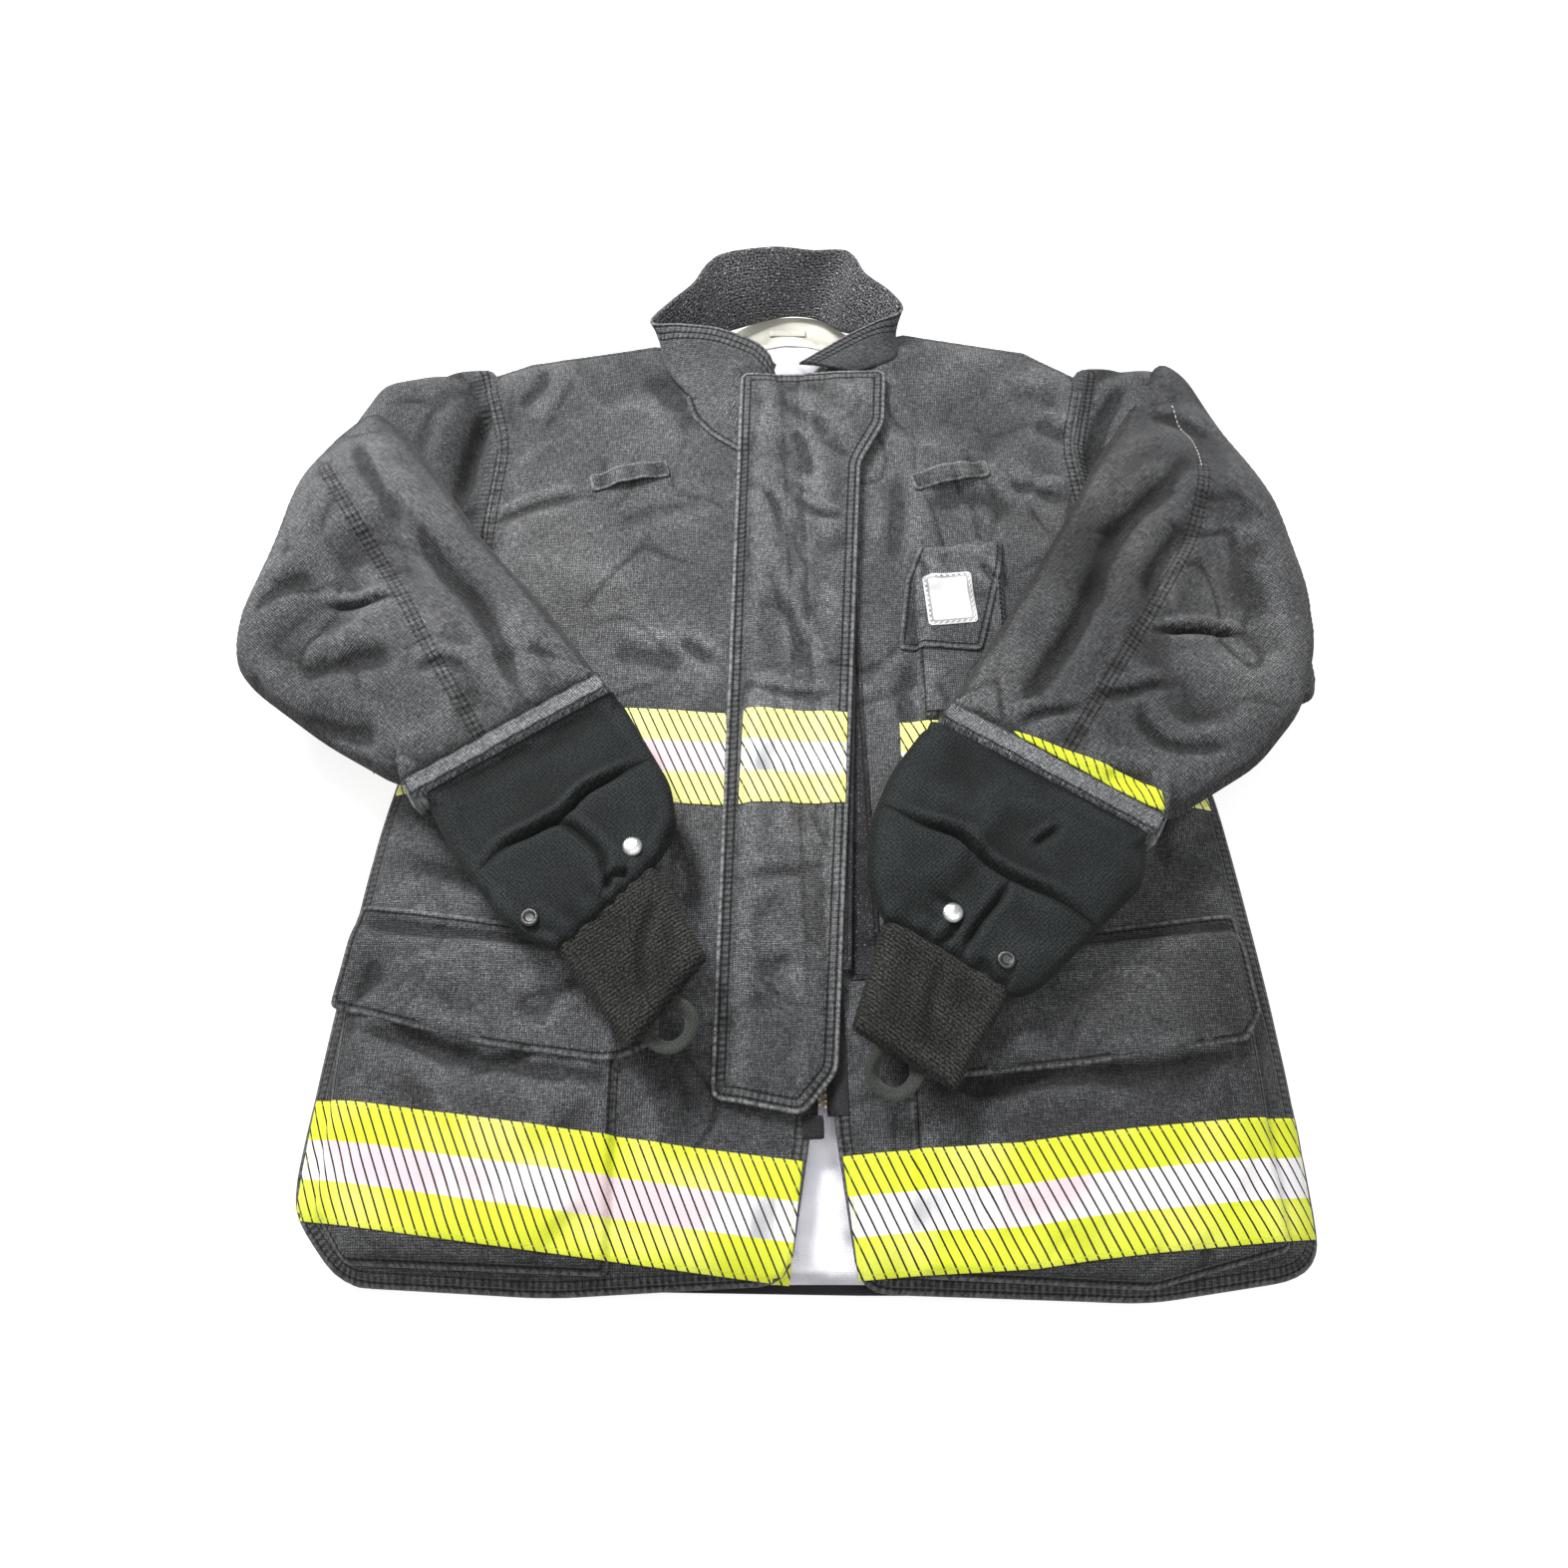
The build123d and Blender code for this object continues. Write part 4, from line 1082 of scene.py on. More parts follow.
def mic_tab(side, centre, turn=14):
    """A strap for a microphone, sewn down with bartacks at both ends and arched between them."""
    centre = np.array(centre)
    away = np.array([math.cos(math.radians(turn)), math.sin(math.radians(turn))])
    across = np.array([-away[1], away[0]])
    corners = [centre + away * a * 32 + across * b * 7.5 for a, b in ((-1, -1), (1, -1), (1, 1), (-1, 1))]

    def top(points):
        arch = ease((24 - np.abs((points - centre) @ away)) / 16)
        return on(front_tree, 2.2, FRONT - 4)(points) + 4.5 * arch

    tab = cloth(f"{side}_mic_tab_cloth", "torso", "shell_cloth", [f"{side}_mic_tab"],
                rounded(np.array(corners), 2), top, shifted(top, -1.8), [TAB], pitch=2.0, grain=turn,
                seams=EDGE)
    ends = [np.array([centre + away * a - across * 5.5, centre + away * a + across * 5.5])
            for a in (-27, -24, 24, 27)]
    sew(f"{side}_mic_tab_bartacks", "torso", [tab], ends, thread=0.5)


def strip_plan(edge, first, last):
    """The outline of a strip of trim below an edge line; first and last are x at the top and at the foot."""
    tops = np.linspace(first[0], last[0], 9)
    feet = np.linspace(first[1], last[1], 9)
    return np.array([(x, edge(x) - TRIM_WIDTH) for x in feet] + [(x, edge(x)) for x in tops[::-1]])


def trim(name, body, node, material, edge, outline, surface, lowest, lift=0.3, bend=None):
    """A length of reflective trim laid on a surface, its top edge along a line."""
    cloth(name, body, "reflective_trim", [node], outline, on(surface, lift + 0.9, lowest),
          on(surface, lift, lowest), [material], bend=bend, seams=EDGE,
          weave=lambda p: np.column_stack([p[:, 0], edge(p[:, 0]) - p[:, 1]]))


def chest_line(x):
    """Top edge of the chest trim."""
    return np.where(x < 60, -14 - 0.05 * (x + 150), -28 + 0.03 * (x - 60))


def hem_line(x):
    """Top edge of the hem trim."""
    return np.where(x < 30, -307 - 0.123 * (x + 317), -345 + 0.085 * (x - 33) - 3.0 * bell(x - 150, 40))


pockets = [pocket(side) for side in BOTH]
radio = cloth("radio_pocket_cloth", "torso", "shell_cloth", ["radio_pocket"], RADIO_PLAN, radio_top,
              radio_under, [POCKET], "padded", seams=EDGE)
mic_tab("right", (-128, 201))
mic_tab("left", (138, 201))
over_all = tree_of(fronts["right"], fronts["left"], *pockets, radio)
for place, material, edge, ends in (
        ("chest", TRIM_PAINTED_GLARE, chest_line, pair(((-274, -290), (-22, -22)), ((88, 88), (300, 316)))),
        ("hem", TRIM_LIME, hem_line, pair(((-316, -318), (12, 3)), ((39, 48), (343, 344))))):
    for side in BOTH:
        trim(f"{side}_{place}_trim", "torso", f"{side}_front_trim", material, edge,
             strip_plan(edge, *ends[side]), over_all, LOW)
for name, top_y, start, end in (("back_chest_trim", -12, -290, 300), ("back_hem_trim", -320, -298, 336)):
    cloth(name, "torso", "reflective_trim", ["back_trim"],
          strip_plan(lambda x: top_y, (start, start), (end, end)),
          lambda p: np.maximum(back_outside(p), 0) + 0.6, shifted(back_outside, -0.25), [TRIM_LIME],
          pitch=6.0, seams=EDGE,
          weave=lambda p: np.column_stack([p[:, 0], top_y - p[:, 1]]))

# ---------------------------------------------------------------- storm flap
STORM_PLAN = rounded(np.array([(-48, -306), (12, -318), (35, -290), (46, -93), (62, 209), (83, 250),
                               (86, 305), (-36, 303)], float), 7)
STORM_HINGE = np.array([(-36, 303), (-48, -306)], float)
STORM_BEND = ("torso", "storm_flap", (-0.037, 0, FLAP * MM), (-0.021, -0.0007, FLAP * MM))
storm_relief = settled(STORM_PLAN, 0.016, 41)
storm_base = on(front_tree, 0.0, FRONT - 2)


def storm_under(points):
    """Underside of the storm flap: sewn down at its hinge, then over the zipper and the collar."""
    away = distance(points, STORM_HINGE)
    side, along = nearest(points, STORM_PLAN, True)
    depth = np.abs(side)
    base = np.clip(storm_base(points), FRONT - 1.5, FRONT + 2.0)
    over_collar = ease((points[:, 1] - 215) / 30) * ease((8 - points[:, 0]) / 14)
    lift = np.maximum(0.4 + 7.2 * ease(away / 22), 6.6 * over_collar)
    relief = np.clip(storm_relief(points), -2, 2) * ease(depth / 20)
    creases = (folds(points, STORM_FOLDS) - 0.7 * crinkles(points, 52, 17)) * ease(depth / 14)
    edge = 0.2 * np.sin(along * 0.30) * bell(depth - 6, 4) + 0.32 * bell(depth - 5.3, 2.2)
    return base + lift + relief + edge + creases


def storm_trim_line(x):
    """Top edge of the trim on the storm flap."""
    return -20 - 0.05 * (x + 34)


# Painted shade on the lower end of the storm flap.
storm = cloth("storm_flap_cloth", "storm_flap", "shell_cloth", ["storm_flap"], STORM_PLAN,
              shifted(storm_under, PLY), storm_under, [EDGED, BACKED], bend=STORM_BEND, pitch=2.4, seams=EDGE,
              spots=[(0, -330, 120, 130, 0.66)])
trim("storm_flap_trim_cloth", "storm_flap", "storm_flap_trim", TRIM_PAINTED_GLARE, storm_trim_line,
     np.array([(-33, -97), (44.5, -97), (47.5, -24), (-30, -20)], float), tree_of(storm), FLAP - 6, 0.25,
     STORM_BEND)
cloth("storm_flap_hook_cloth", "storm_flap", "hook_and_loop", ["storm_flap_hook_strip"],
      plan("storm_flap_hook_strip"), shifted(storm_under, -0.25), shifted(storm_under, -1.6), [LOOPS],
      pitch=4.0, seams=EDGE)

# ---------------------------------------------------------------- pocket flaps and the radio flap
FLAP_FOLDS = pair(
    [([(-190, -250), (-160, -240), (-130, -226)], -1.2, 8, 0.6),
     ([(-290, -200), (-250, -216), (-200, -222)], 0.9, 12, 0.0)],
    [([(176, -192), (186, -232), (192, -268)], -1.6, 8, 0.9),
     ([(230, -200), (240, -236), (236, -262)], 1.0, 10, 0.0)])
FLAP_HINGES = lines([(-300, -172), (-88, -200)], [(92, -207), (318, -180)])
FLAP_PLANS = {side: rounded(plan(f"{side}_pocket_flap"), 10) for side in BOTH}
FLAP_CEILING = 49.6  # above this a flap is nearly flat, to stay below the wristlet that lies on it
HINGE_HEIGHT = 49.5
under_flaps = on(over_all, 0.5, SEAM + 6)


def flap_shape(side):
    """Underside of a pocket flap: sewn down along its top, standing off the pocket at its lower edge."""
    outline = FLAP_PLANS[side]
    relief = settled(outline, 0.018, 51 + SIGN[side])

    def under(points):
        away = distance(points, FLAP_HINGES[side])
        depth = distance(points, outline, True)
        sewn = FRONT + 1 + 7.0 * ease((away - 4) / 26) - 2.4 * (1 - dome(depth, 16))
        top = np.maximum(under_flaps(points), sewn) + 0.5 * bell(depth - 6, 2.4) - 0.8 * bell(away - 14, 2.5)
        top += np.clip(relief(points), -2.2, 3) * ease(depth / 22) + 2.2 * ease((away - 50) / 40)
        top += folds(points, FLAP_FOLDS[side]) * ease(depth / 10)
        return np.minimum(top, FLAP_CEILING + 0.15 * (top - FLAP_CEILING))

    return under


pocket_flaps, flap_bends = {}, {}
for side in BOTH:
    under = flap_shape(side)
    start = Vector((*FLAP_HINGES[side].mean(0), HINGE_HEIGHT)) * MM
    flap_bends[side] = ("torso", f"{side}_pocket_flap", start, start + Vector((0, -0.014, 0)))
    pocket_flaps[side] = cloth(f"{side}_pocket_flap_cloth", f"{side}_pocket_flap", "shell_cloth",
                               [f"{side}_pocket_flap"], FLAP_PLANS[side], shifted(under, PLY), under,
                               [HEMMED, BACKED], bend=flap_bends[side], pitch=2.6, seams=EDGE,
                               spots=TORSO_SHADE_SPOTS)

RADIO_FLAP_PLAN = rounded(plan("radio_pocket_flap"), 2.5)
RADIO_FOLDS = [([(104, 118), (112, 104), (106, 92)], -1.6, 4, 1.2),
               ([(156, 112), (166, 96), (176, 88)], -2.2, 4, 1.6)]
RADIO_BEND = ("torso", "radio_flap", Vector((0.143, 0.134, 0.0464)), Vector((0.1447, 0.122, 0.0464)))


def radio_flap_under(points):
    """Underside of the radio flap: creased where its shoulders fold over the pocket."""
    uneven = 0.6 * ripples(points, 45, 4) * ease(distance(points, RADIO_FLAP_PLAN, True) / 10)
    return on(over_all, 0.4, FRONT + 2)(points) + uneven + folds(points, RADIO_FOLDS)


radio_flap = cloth("radio_flap_cloth", "radio_flap", "shell_cloth", ["radio_pocket_flap"], RADIO_FLAP_PLAN,
                   shifted(radio_flap_under, 2.4), radio_flap_under, [HEMMED, BACKED], bend=RADIO_BEND,
                   pitch=2.2, grain=3, seams=EDGE)
patch_tree = tree_of(radio_flap)
patch = cloth("label_patch_cloth", "radio_flap", "label_cloth", ["label_patch"], plan("label_patch"),
              on(patch_tree, 1.0, FLAP - 3), on(patch_tree, 0.2, FLAP - 3), [PATCH], pitch=2.0, grain=4,
              seams=EDGE)
cloth("zipper_end_tab_cloth", "torso", "black_webbing", ["zipper_end_tab"], plan("zipper_end_tab"),
      flat(FRONT + 3.0), flat(FRONT + 0.4), [TAPE], None, pitch=2.0)

# ---------------------------------------------------------------- rows of stitches
sew("storm_flap_stitches", "storm_flap", [storm], inner_rows(STORM_PLAN, ROWS), bend=STORM_BEND)
for side in BOTH:
    rows = inner_rows(FLAP_PLANS[side], HEM_ROW) + beside(spaced(FLAP_HINGES[side], 4.0, False), [-8.0])
    sew(f"{side}_pocket_flap_stitches", f"{side}_pocket_flap", [pocket_flaps[side]], rows,
        bend=flap_bends[side])
    rows = beside(spaced(ARMHOLES[side], 4.0, False), [-SIGN[side] * row for row in ROWS])
    sew(f"{side}_armhole_stitches", "torso", [fronts[side]], rows)
sew("radio_flap_stitches", "radio_flap", [radio_flap], inner_rows(RADIO_FLAP_PLAN, HEM_ROW), bend=RADIO_BEND)
sew("label_stitches", "radio_flap", [patch], inner_rows(plan("label_patch"), (1.2, 2.0)), THREAD_GREY, 0.3)

# ---------------------------------------------------------------- collar
# The standing collar from the throat on the wearer's right, round the neck, to the throat on the left:
# (x, y, z) of its top edge and of the seam below it.
COLLAR_TOP = [(-8, 312, 50), (-22, 330, 54), (-54, 341, 60), (-88, 344, 63), (-113, 346, 65), (-98, 366, 67),
              (-78, 388, 68), (-59, 417, 69), (-13, 427, 70), (25, 424, 69), (56, 423, 69), (70, 398, 69),
              (92, 378, 67), (101, 361, 64), (78, 349, 61), (53, 337, 57), (13, 313, 50)]
COLLAR_FOOT = [(-14, 226, 38.5), (-52, 256, 40), (-79, 284, 40), (-98, 312, 40), (-104, 340, 39),
               (-92, 350, 36), (-72, 358, 32), (-50, 372, 26), (-16, 390, 21), (8, 396, 20), (32, 390, 21),
               (52, 372, 26), (74, 362, 32), (92, 350, 36), (98, 338, 39), (92, 326, 40), (60, 312, 40)]
ROUND_STEPS = 120
RISE_STEPS = 16
TUCKED_BELOW = 345   # forward of this y the collar lies under the storm flap


def collar_point(line, share):
    """A point on a smooth line through the collar's points, at a share of the way round."""
    place = share * (len(line) - 1)
    i = min(int(place), len(line) - 2)
    near = [np.array(line[k], float) for k in (max(i - 1, 0), i, i + 1, min(i + 2, len(line) - 1))]
    return between(*near, place - i)


def collar_grid():
    """Points of the collar's middle surface, by steps round the neck and up from the seam."""
    grid = np.zeros((ROUND_STEPS + 1, RISE_STEPS + 1, 3))
    for i in range(ROUND_STEPS + 1):
        share = i / ROUND_STEPS
        foot, top = collar_point(COLLAR_FOOT, share), collar_point(COLLAR_TOP, share)
        for j in range(RISE_STEPS + 1):
            up = j / RISE_STEPS
            wave = 4.8 * math.sin(9 * share * math.pi + 3 * up) * up * (1 - up)
            grid[i, j] = foot + (top - foot) * up + np.array([0, 0, 3.0 * math.sin(math.pi * up) + wave])
    places = grid[:, :, :2].reshape(-1, 2)
    outside = np.where(inside(places, STORM_PLAN), 0.0, distance(places, STORM_PLAN, True))
    ceiling = (storm_under(places) - 3.0 + 1.2 * outside).reshape(grid.shape[:2])
    height = grid[:, :, 2]
    grid[:, :, 2] = np.where(grid[:, :, 1] < TUCKED_BELOW, np.minimum(height, ceiling), height)
    return grid


def collar_layer(name, offsets, material):
    """One layer of the collar, between two distances from its middle surface, with a closed edge."""
    grid = collar_grid()
    normal = np.cross(np.gradient(grid, axis=0), np.gradient(grid, axis=1))
    normal /= np.maximum(np.linalg.norm(normal, axis=2), 1e-6)[..., None]
    corners = np.concatenate([(grid + normal * offset).reshape(-1, 3) for offset in offsets])
    steps, rise = ROUND_STEPS + 1, RISE_STEPS + 1
    count = steps * rise
    faces = []
    for i in range(steps - 1):
        for a in range(i * rise, (i + 1) * rise - 1):
            quad = [a, a + rise, a + rise + 1, a + 1]
            faces += [quad, [count + k for k in reversed(quad)]]
    rim = [(i, 0) for i in range(steps)] + [(steps - 1, j) for j in range(1, rise)]
    rim += [(i, rise - 1) for i in range(steps - 2, -1, -1)] + [(0, j) for j in range(rise - 2, 0, -1)]
    ring = [i * rise + j for i, j in rim]
    faces += [[b, a, count + a, count + b] for a, b in zip(ring, ring[1:] + ring[:1])]
    piece = make_object(name, corners, faces, [material])
    walked = np.concatenate([[0], np.cumsum(np.linalg.norm(np.diff(grid[:, -1], axis=0), axis=1))])
    height = np.linalg.norm(grid[:, -1:] - grid, axis=2)
    plane = np.stack([np.repeat(walked[:, None], rise, 1), height], 2).reshape(-1, 2)
    for layer in ("weave", "seam"):
        give_uv(piece, layer, np.concatenate([plane, plane]))
    no_painted_shade(piece)
    return piece


done(collar_layer("collar_outer_cloth", (-0.2, -2.6), COLLAR), "torso", ["collar_shell"],
     "padded")
done(collar_layer("collar_inner_wool", (2.4, 0.0), WOOL), "torso", ["collar_lining"], "padded")

THROAT_PLAN = rounded(np.array([(-84, 286), (-76, 262), (-62, 244), (-40, 228), (-30, 224), (-30, 262),
                                (-56, 292)], float), 6)
cloth("throat_tab_cloth", "torso", "shell_cloth", ["throat_tab"], THROAT_PLAN, on(front_tree, 2.4, FRONT - 3),
      on(front_tree, 0.3, FRONT - 3), [HEMMED], pitch=2.2, grain=40, seams=EDGE)
neck_edge = smooth_line([(-56, 371), (-25, 392), (6, 398), (37, 393), (60, 373)], 5)
facing_plan = trued(np.concatenate([neck_edge, (neck_edge - np.array([0, 35]))[::-1]]))
liner_tree = tree_of(back_liner)
cloth("neck_facing_cloth", "torso", "label_cloth", (), facing_plan, on(liner_tree, 1.5, 14),
      on(liner_tree, 0.4, 14), [CREAM], pitch=2.5)
cloth("hanger_loop_tape", "torso", "label_cloth", ["hanger_loop"],
      np.array([(-13, 375), (19, 375), (19, 381), (-13, 381)], float), on(liner_tree, 2.5, 15),
      on(liner_tree, 1.6, 15), [CREAM], None)

# ---------------------------------------------------------------- sleeves
FOREARM_PLAN = pair(
    [(-134, -10), (-180, 52), (-234, 114), (-281, 183), (-322, 242), (-346, 262), (-368, 232), (-386, 180),
     (-396, 110), (-412, 40), (-408, 4), (-390, -18), (-330, -62), (-269, -97)],
    [(266, -124), (340, -78), (378, -34), (398, 20), (400, 70), (390, 140), (376, 194), (358, 256),
     (342, 298), (322, 315), (302, 280), (250, 192), (228, 145), (165, 38), (119, -33)])
UPPER_PLAN = pair(
    [(-250, 319), (-300, 314), (-348, 303), (-376, 240), (-396, 160), (-410, 40), (-394, 0), (-318, 2),
     (-249, 132), (-240, 180), (-239, 235)],
    [(254, 146), (330, 2), (404, -6), (414, 6), (412, 60), (396, 140), (366, 250), (340, 308), (322, 319),
     (296, 319), (252, 319), (244, 235)])
UPPER_FOLDS = pair(
    [([(-250, 284), (-262, 240), (-270, 170)], -9.0, 7, 0.0),
     ([(-274, 296), (-284, 250), (-296, 200)], 3.0, 9, 0.0)],
    [([(292, 302), (268, 248), (252, 196)], -6.0, 8, 0.0),
     ([(318, 296), (298, 250), (274, 210)], 2.0, 9, 0.0)])
FORE_FOLDS = pair(
    [([(-288, 128), (-255, 77), (-230, 49), (-210, 14), (-188, -38)], -7.0, 7, 3.5),
     ([(-352, 212), (-326, 168), (-296, 122)], -3.0, 8, 1.6),
     ([(-346, 50), (-318, 47), (-290, 55)], -4.0, 3.2, 2.0),
     ([(-356, -14), (-320, -4), (-280, 2)], -6.0, 11, 2.6),
     ([(-356, -46), (-320, -56), (-284, -64)], -4.5, 9, 2.0),
     ([(-390, -6), (-380, -24), (-372, -42)], -4.0, 4, 1.6),
     ([(-270, -10), (-246, -4), (-226, -12)], -2.4, 5, 1.2),
     ([(-402, 40), (-372, 66), (-350, 64)], -3.0, 8, 1.4),
     ([(-226, 88), (-200, 50), (-170, 4)], 1.6, 9, 0.0),
     ([(-214, -8), (-190, 6), (-160, -4)], -2.6, 7, 1.2)],
    [([(336, 208), (300, 160), (254, 109), (220, 34), (178, -30), (154, -64)], -7.5, 10, 3.0),
     ([(312, 122), (281, 78), (268, 40)], -4.5, 7, 2.4),
     ([(218, -34), (245, -30), (284, -18)], -3.4, 4.5, 1.6),
     ([(164, -54), (186, -46), (212, -42)], -4.0, 5, 2.0),
     ([(252, -38), (258, -60), (280, -74), (322, -68)], -3.6, 6, 1.8),
     ([(222, -90), (240, -96), (260, -100)], -3.6, 7, 1.2),
     ([(275, 27), (308, 29), (343, 23)], -6.0, 3.0, 2.2),
     ([(300, 250), (330, 240), (352, 214)], -3.0, 9, 1.6),
     ([(360, 120), (346, 70), (352, 30)], -3.0, 16, 1.2)])
ELBOW_SEAM = pair([(-364, 176), (-334, 128), (-307, 87), (-282, 48), (-260, 9), (-216, -63)],
                  [(333, 181), (324, 140), (311, 105), (286, 62), (259, 18), (202, -72)])
# The open mouths of the elbow pleats, as narrow spots of painted shadow on the cloth.
ELBOW_SLIT_SHADOWS = pair([(-331, 48, 12, 2.4, 0.12), (-312, 48, 14, 2.4, 0.12), (-296, 52, 8, 2.0, 0.3)],
                   [(285, 26.5, 11, 2.2, 0.12), (304, 28.5, 14, 2.4, 0.12), (326, 26.5, 14, 2.0, 0.2)])
GRAIN = pair(-43.0, 43.0)
CUFFS = lines([(-134, -10), (-269, -97)], [(119, -33), (266, -124)])
SLEEVE_MIDDLE = 28.0
SHOULDER_BEND = 0.045
ELBOW_BEND = {side: (f"{side}_upper_sleeve", f"{side}_forearm", Vector((SIGN[side] * 0.345, 0.200, 0.07)),
                     Vector((SIGN[side] * 0.345, 0.030, 0.07))) for side in BOTH}


def upper_shape(side, outline):
    """Top and underside of an upper sleeve: a flattened tube, level with the front at the armhole."""
    relief = settled(outline, 0.022, 61 + SIGN[side])

    def tube(points):
        depth = distance(points, outline, True)
        join = ease(distance(points, ARMHOLES[side]) / 46)
        return depth, join, np.maximum(dome(depth, 26), 1 - join)

    def top(points):
        depth, join, swell = tube(points)
        moved = np.clip(relief(points), -4, 4) * ease(depth / 30)
        moved += folds(points, UPPER_FOLDS[side]) * ease(depth / 8)
        moved -= 1.2 * crinkles(points, 50, 9) * ease(depth / 16)
        full = FRONT - 1.5 + join * (UPPER[1] - FRONT - 2)
        return SLEEVE_MIDDLE + (full - SLEEVE_MIDDLE) * swell + moved

    def underside(points):
        _, join, swell = tube(points)
        return SLEEVE_MIDDLE - (SLEEVE_MIDDLE - UPPER[0]) * swell * (0.35 + 0.65 * join) * 0.96

    return top, underside


def fore_shape(side, outline, seam):
    """Top and underside of a forearm: a flattened tube that rises out of the upper sleeve at its top end."""
    relief = settled(outline, 0.026, 71 + SIGN[side])

    def tube(points):
        depth = distance(points, outline, True)
        depth = np.where(distance(points, CUFFS[side]) < depth + 4, depth + 16, depth)
        rise = ease((270 - points[:, 1]) / 130)
        top = 60 + (FOREARM[1] - 62) * rise
        bottom = 44 + (FOREARM[0] - 43) * rise
        return depth, top, bottom, bottom + (top - bottom) * 0.42, dome(depth, 30)

    def top(points):
        depth, high, _, middle, swell = tube(points)
        away, along = nearest(points, seam)
        sewn = 0.45 * np.sin(along * 0.55 + np.sin(along * 0.13)) * bell(away, 9) - 0.6 * bell(away, 7)
        moved = np.clip(relief(points), -6, 5) * ease(depth / 34)
        creases = folds(points, FORE_FOLDS[side]) * ease(depth / 10)
        creases -= 1.8 * crinkles(points, 66, 3) * ease(depth / 30)
        full = middle + (high - 3 - middle) * swell + moved + sewn + creases
        return np.minimum(full, FOREARM[1] + 1)

    def underside(points):
        _, _, low, middle, swell = tube(points)
        return middle - (middle - low) * swell

    return top, underside


forearms = {}
for side in BOTH:
    outline = trued(rounded(np.array(UPPER_PLAN[side], float), 14))
    shoulder = Vector((*ARMHOLES[side][1], 30.0)) * MM
    outwards = Vector((SIGN[side] * SHOULDER_BEND, 0.0, 0.0))
    cloth(f"{side}_upper_sleeve_cloth", "torso", "shell_cloth",
          [f"{side}_upper_sleeve", f"{side}_upper_sleeve_liner"], outline, *upper_shape(side, outline),
          [SHELL], "padded", ("torso", f"{side}_upper_sleeve", shoulder, shoulder + outwards), pitch=3.4,
          grain=-GRAIN[side] / 3, seams=[(ARMHOLES[side], False)], spots=SLEEVE_SHADE_SPOTS[side])
    outline = trued(rounded(np.array(FOREARM_PLAN[side], float), 16))
    seam = smooth_line(ELBOW_SEAM[side], 12)
    forearms[side] = cloth(f"{side}_forearm_cloth", "forearm", "shell_cloth",
                           [f"{side}_forearm", f"{side}_forearm_liner"], outline,
                           *fore_shape(side, outline, seam), [SLEEVE, SHELL], "padded", ELBOW_BEND[side],
                           grain=GRAIN[side], seams=[(seam, False)],
                           spots=SLEEVE_SHADE_SPOTS[side] + ELBOW_SLIT_SHADOWS[side])

# ---------------------------------------------------------------- cuffs
WELL_PLAN = pair(
    [(-122, -24), (-252, -108), (-226, -152), (-190, -196), (-172, -210), (-150, -218), (-118, -186),
     (-86, -154), (-74, -132), (-80, -96)],
    [(104, -48), (252, -136), (246, -170), (210, -204), (168, -244), (150, -250), (112, -220), (84, -202),
     (66, -196), (56, -168), (60, -124), (76, -86)])
WELL_MOUTH = lines([(-122, -24), (-252, -108)], [(104, -48), (252, -136)])
WELL_FOOT = lines([(-154, -216), (-86, -154)], [(150, -248), (64, -196)])
WELL_FOLDS = pair(
    [([(-205, -159), (-191, -144), (-173, -134), (-153, -121), (-139, -104), (-121, -93), (-98, -80)],
      -5.0, 2.6, 2.6),
     ([(-168, -128), (-151, -128), (-135, -140), (-124, -152), (-121, -169), (-124, -180)], -4.5, 3.2, 1.6),
     ([(-121, -178), (-117, -166), (-109, -164), (-107, -157)], -4.0, 2.6, 1.6),
     ([(-83, -148), (-74, -128), (-72, -115)], -3.0, 4, 1.0),
     ([(-203, -171), (-200, -189), (-185, -208)], -2.5, 5, 1.0),
     ([(-177, -196), (-164, -202), (-150, -208)], -2.0, 5, 1.0)],
    [([(71, -115), (93, -129), (118, -138), (137, -155), (154, -167), (180, -182), (206, -200)],
      -5.5, 2.6, 2.6),
     ([(154, -167), (145, -183), (134, -196), (122, -213), (117, -222)], -5.0, 3.0, 1.8),
     ([(98, -213), (112, -207), (115, -190), (101, -180)], -3.6, 3.0, 1.6),
     ([(120, -133), (127, -142), (130, -151)], -3.0, 3.0, 1.0),
     ([(169, -146), (180, -139), (190, -132)], -3.4, 2.6, 1.0),
     ([(127, -221), (139, -238), (150, -244)], -3.0, 4, 1.0)])
WRIST_FOLDS = pair([([(-88, -178), (-96, -214), (-92, -250)], -1.6, 4, 0.8)],
                   [([(110, -214), (96, -246), (92, -280)], -1.2, 5, 0.6)])
WRIST_END = lines([(-51, -221), (-100, -283)], [(110, -309), (44, -269)])
ARM_WAY = lines((0.66, -0.75), (-0.53, -0.85))
SNAP_PLACES = pair([(-104, -145), (-170, -196)], [(113, -193), (146, -226)])
SNAP_PROFILES = ([(0.01, 3.4), (2.6, 3.3), (5.0, 2.8), (6.6, 1.9), (7.2, 0.8), (7.2, 0.0)],
                 [(0.01, 0.9), (2.6, 0.9), (3.2, 1.0), (3.6, 2.2), (5.2, 2.4), (6.2, 1.6), (6.5, 0.0)])
SNAP_STEPS = 28
LOOP_CENTRES = pair((-76, -264), (72, -294))
LOOP_PROFILE = ((9.8, 2.2), (10.6, 1.2), (19.4, 5.2), (18.8, 6.6))
LOOP_STEPS = 40


